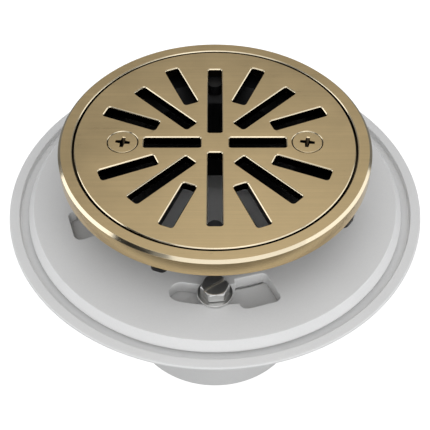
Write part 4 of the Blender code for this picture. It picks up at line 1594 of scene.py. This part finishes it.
@dataclass
class DrainBase:
    """White moulding: dished flange, throat, cone and pipe hub, with ribs and bosses."""

    clamp_face: float = 68.4 * MM
    flange_thickness: float = 4.0 * MM
    band: float = 3.7 * MM
    undercut: float = 0.8 * MM
    throat: float = 40.0 * MM
    throat_wall: float = 4.2 * MM
    throat_bottom: float = 52.7 * MM
    lower_throat: float = 38.0 * MM
    cone_top: float = 37.7 * MM
    cone_bottom: float = 27.2 * MM
    stop: float = 26.2 * MM
    socket: float = 30.45 * MM
    socket_depth: float = 25.5 * MM
    hub: float = 33.5 * MM
    hub_chamfer: float = 0.8 * MM
    boss_radius: float = 6.2 * MM
    boss_bottom: float = 52.1 * MM
    pocket_radius: float = 4.3 * MM
    pocket_bottom: float = 53.4 * MM
    rib_thickness: float = 3.0 * MM
    rib_height: float = 11.0 * MM
    rib_margin: float = 8.0 * MM
    rib_count: int = 8
    lip_round: float = 0.6 * MM
    rib_toe: float = 2.0 * MM
    throat_step: float = 2.0 * MM
    pocket_flare: float = 0.3 * MM
    edge: float = 0.4 * MM

    def __post_init__(self) -> None:
        """Reads the base's size and its bolts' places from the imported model."""
        self.radius = half_width("drain_base")
        self.top = top_of("drain_base")
        self.bolts = [centre_of(f"bolt_insert_{i}") for i in range(1, 5)]

    def profile(self) -> list[Point]:
        """The wall's profile of (radius, height), with every edge softened.

        Returns:
            A closed profile, up the outside and down the inside.
        """
        under = self.clamp_face - self.flange_thickness
        land = self.top - self.undercut
        e = self.edge
        outer = self.throat + self.throat_wall
        lower = self.lower_throat + self.throat_wall
        corners = [
            (self.hub - self.hub_chamfer, 0.0, e / 2),
            (self.hub, self.hub_chamfer, e / 2),
            (self.hub, self.socket_depth, 4 * e),
            (lower, self.cone_top, 4 * e),
            (lower, self.throat_bottom - self.throat_step, e),
            (outer, self.throat_bottom, e),
            (outer, under, 2 * e),
            (self.radius - (land - under), under, 2 * e),
            (self.radius, land, 0.2 * e),
            (self.radius, self.top, self.lip_round),
            (self.radius - self.band, self.top, 0.7 * e),
            (self.radius - self.band, self.clamp_face, 0.7 * e),
            (self.throat, self.clamp_face, 2 * e),
            (self.throat, self.throat_bottom, e),
            (self.lower_throat, self.throat_bottom - self.throat_step, e),
            (self.lower_throat, self.cone_top, 4 * e),
            (self.stop, self.cone_bottom, e),
            (self.stop, self.socket_depth, e),
            (self.socket, self.socket_depth, e),
            (self.socket, self.hub_chamfer, e / 2),
            (self.socket + self.hub_chamfer, 0.0, e / 2),
        ]
        return rounded(corners, 4)

    def additions(self) -> Body:
        """The bosses round the inserts and the ribs under the flange.

        Returns:
            The bodies to join to the wall.
        """
        body = Body()
        under = self.clamp_face - self.flange_thickness
        sunk = under + self.flange_thickness / 3
        for middle in self.bolts:
            foot = [(CORE, self.boss_bottom, 0.0), (self.boss_radius, self.boss_bottom, MM)]
            profile = rounded([*foot, (self.boss_radius, sunk, 0.0)], 4, False)
            body.spindle(profile, SMALL, (middle.x, middle.y))
        inner = self.throat + self.throat_wall / 2
        toe = self.throat + self.throat_wall + self.rib_toe
        outer = self.radius - self.rib_margin
        low, shoulder = under - self.rib_height, under - 1.5 * MM
        side = [(inner, low, 0.0), (toe, low, MM), (outer, shoulder, MM), (outer, sunk, 0.0)]
        outline = rounded([*side, (inner, sunk, 0.0)], 4)
        for k in range(self.rib_count):
            angle = FULL_TURN * (k + 0.5) / self.rib_count
            across = polar(self.rib_thickness / 2, angle + math.pi / 2)
            near = [body.bm.verts.new(polar(r, angle, z) - across) for r, z in outline]
            far = [body.bm.verts.new(polar(r, angle, z) + across) for r, z in outline]
            body.bridge(near, far)
            body.cap(near)
            body.cap(far)
        return body

    def pockets(self) -> Body:
        """The blind pockets for the inserts.

        Returns:
            The bodies to cut out of the base.
        """
        body = Body()
        rows = [(self.pocket_radius, self.pocket_bottom), (self.pocket_radius, self.clamp_face)]
        flare = self.pocket_flare
        rows.append((self.pocket_radius + flare, self.clamp_face + flare))
        for middle in self.bolts:
            body.spindle(rows, SMALL, (middle.x, middle.y))
        return body

    def build(self) -> None:
        """Adds the base."""
        body = Body()
        body.tube(self.profile(), FINE)
        steps = [("UNION", self.additions()), ("DIFFERENCE", self.pockets())]
        mesh = carved(body.mesh("flanged_base"), steps)
        piece("flanged_base", mesh, "base", "drain_base", WHITE_PLASTIC)


# ------------------------------------------------------------------ studio


@dataclass
class SoftLight:
    """A rectangular soft light that points at the drain."""

    name: str
    azimuth: float
    elevation: float
    distance: float
    width: float
    height: float
    power: float

    def build(self, target: Vector) -> None:
        """Adds the light.

        Args:
            target: the point that it is aimed at.
        """
        data = bpy.data.lights.new(self.name, "AREA")
        data.shape = "RECTANGLE"
        data.size = self.width
        data.size_y = self.height
        data.energy = self.power
        made = bpy.data.objects.new(self.name, data)
        bpy.context.scene.collection.objects.link(made)
        away = direction(math.radians(self.azimuth), math.radians(self.elevation))
        made.location = target + away * self.distance
        made.rotation_euler = away.to_track_quat("Z", "Y").to_euler()


@dataclass
class Studio:
    """Pale floor, black card, soft lights and the camera."""

    floor_size: float = 6.0
    floor_height: float = -0.2 * MM
    floor_colour: tuple[float, float, float] = (0.27, 0.27, 0.265)
    card_size: float = 0.4
    card_azimuth: float = math.radians(-144.0)
    card_elevation: float = math.radians(26.0)
    focal_length: float = 92.24
    sensor: float = 36.0
    camera_place: tuple[float, float, float] = (0.0, -0.2747, 0.3620)
    camera_tilt: float = math.radians(42.53)
    surround_colour: tuple[float, float, float] = (0.95, 0.97, 1.0)
    surround_strength: float = 0.30
    aim: float = 0.8
    lights: tuple[SoftLight, ...] = (
        SoftLight("overhead_softbox", 54.0, 70.0, 1.1, 1.2, 0.9, 1.75),
        SoftLight("sky_panel", -100.0, 68.0, 1.2, 1.4, 1.0, 3.4),
        SoftLight("front_softbox", -72.0, 32.0, 1.2, 1.9, 0.9, 4.9),
        SoftLight("low_front_softbox", -96.0, 8.0, 1.2, 2.0, 0.4, 3.5),
        SoftLight("left_softbox", 180.0, 16.0, 1.2, 1.2, 0.8, 4.2),
        SoftLight("right_softbox", 2.0, 16.0, 1.2, 1.3, 0.7, 3.2),
    )

    def sheet(
        self, name: str, size: float, height: float, colour: Sequence[float], roughness: float
    ) -> tuple[bpy.types.Object, bpy.types.Node]:
        """Adds a square sheet of plain paint to the stage.

        Args:
            name: the sheet's name.
            size: the length of its sides.
            height: the height that it lies at.
            colour: its paint's colour.
            roughness: its paint's roughness.

        Returns:
            The sheet, and its paint's shader.
        """
        body = Body()
        body.cap(body.loop(rounded(bar(-size / 2, size / 2, size / 2)), height))
        made = add_object(name, body.mesh(name))
        paint = bpy.data.materials.new(name)
        paint.use_nodes = True
        shader = paint.node_tree.nodes["Principled BSDF"]
        shader.inputs["Base Color"].default_value = (*colour, 1.0)
        shader.inputs["Roughness"].default_value = roughness
        made.data.materials.append(paint)
        return made, shader

    def floor(self) -> None:
        """Adds the pale floor, which the camera sees as plain white."""
        spot = (self.floor_size, self.floor_height)
        _, shader = self.sheet("studio_floor", *spot, self.floor_colour, 0.9)
        shader.inputs["Emission Color"].default_value = (1.0, 1.0, 1.0, 1.0)
        tree = shader.id_data
        seen = tree.nodes.new("ShaderNodeLightPath").outputs["Is Camera Ray"]
        tree.links.new(seen, shader.inputs["Emission Strength"])

    def black_card(self) -> None:
        """Adds a black card that keeps light off the ring's left front edge."""
        made, _ = self.sheet("black_card", self.card_size, 0.0, (0.01, 0.01, 0.01), 1.0)
        away = direction(self.card_azimuth, self.card_elevation)
        turn = away.to_track_quat("Z", "Y").to_matrix().to_4x4()
        made.matrix_world = Matrix.Translation(away) @ turn

    def world(self) -> None:
        """Adds a dim even surrounding light."""
        world = bpy.data.worlds.new("studio_surround")
        bpy.context.scene.world = world
        world.use_nodes = True
        background = world.node_tree.nodes["Background"]
        background.inputs["Color"].default_value = (*self.surround_colour, 1.0)
        background.inputs["Strength"].default_value = self.surround_strength

    def camera(self) -> None:
        """Adds the camera and makes it the scene's own."""
        data = bpy.data.cameras.new("studio_camera")
        data.lens = self.focal_length
        data.sensor_width = self.sensor
        data.clip_start = 0.01
        made = bpy.data.objects.new("studio_camera", data)
        bpy.context.scene.collection.objects.link(made)
        made.location = self.camera_place
        made.rotation_euler = (self.camera_tilt, 0.0, 0.0)
        bpy.context.scene.camera = made

    def build(self) -> None:
        """Sets up the floor, the lights, the camera and the tone of the picture."""
        self.floor()
        self.black_card()
        self.world()
        target = Vector((0.0, 0.0, top_of("strainer_ring") * self.aim))
        for light in self.lights:
            light.build(target)
        self.camera()
        bpy.context.scene.view_settings.view_transform = "Standard"
        LOG.info("studio: %d lights", len(self.lights))


def main() -> None:
    """Builds every sub-assembly from the pipe hub up, then the studio."""
    logging.basicConfig(level=logging.INFO, format="%(message)s")
    for assembly in (DrainBase, ClampingCollar, CollarBolts, ThreadedBarrel, TrimRing, Grate):
        LOG.info("building %s", assembly.__name__)
        assembly().build()
    Studio().build()


if __name__ == "__main__":
    main()
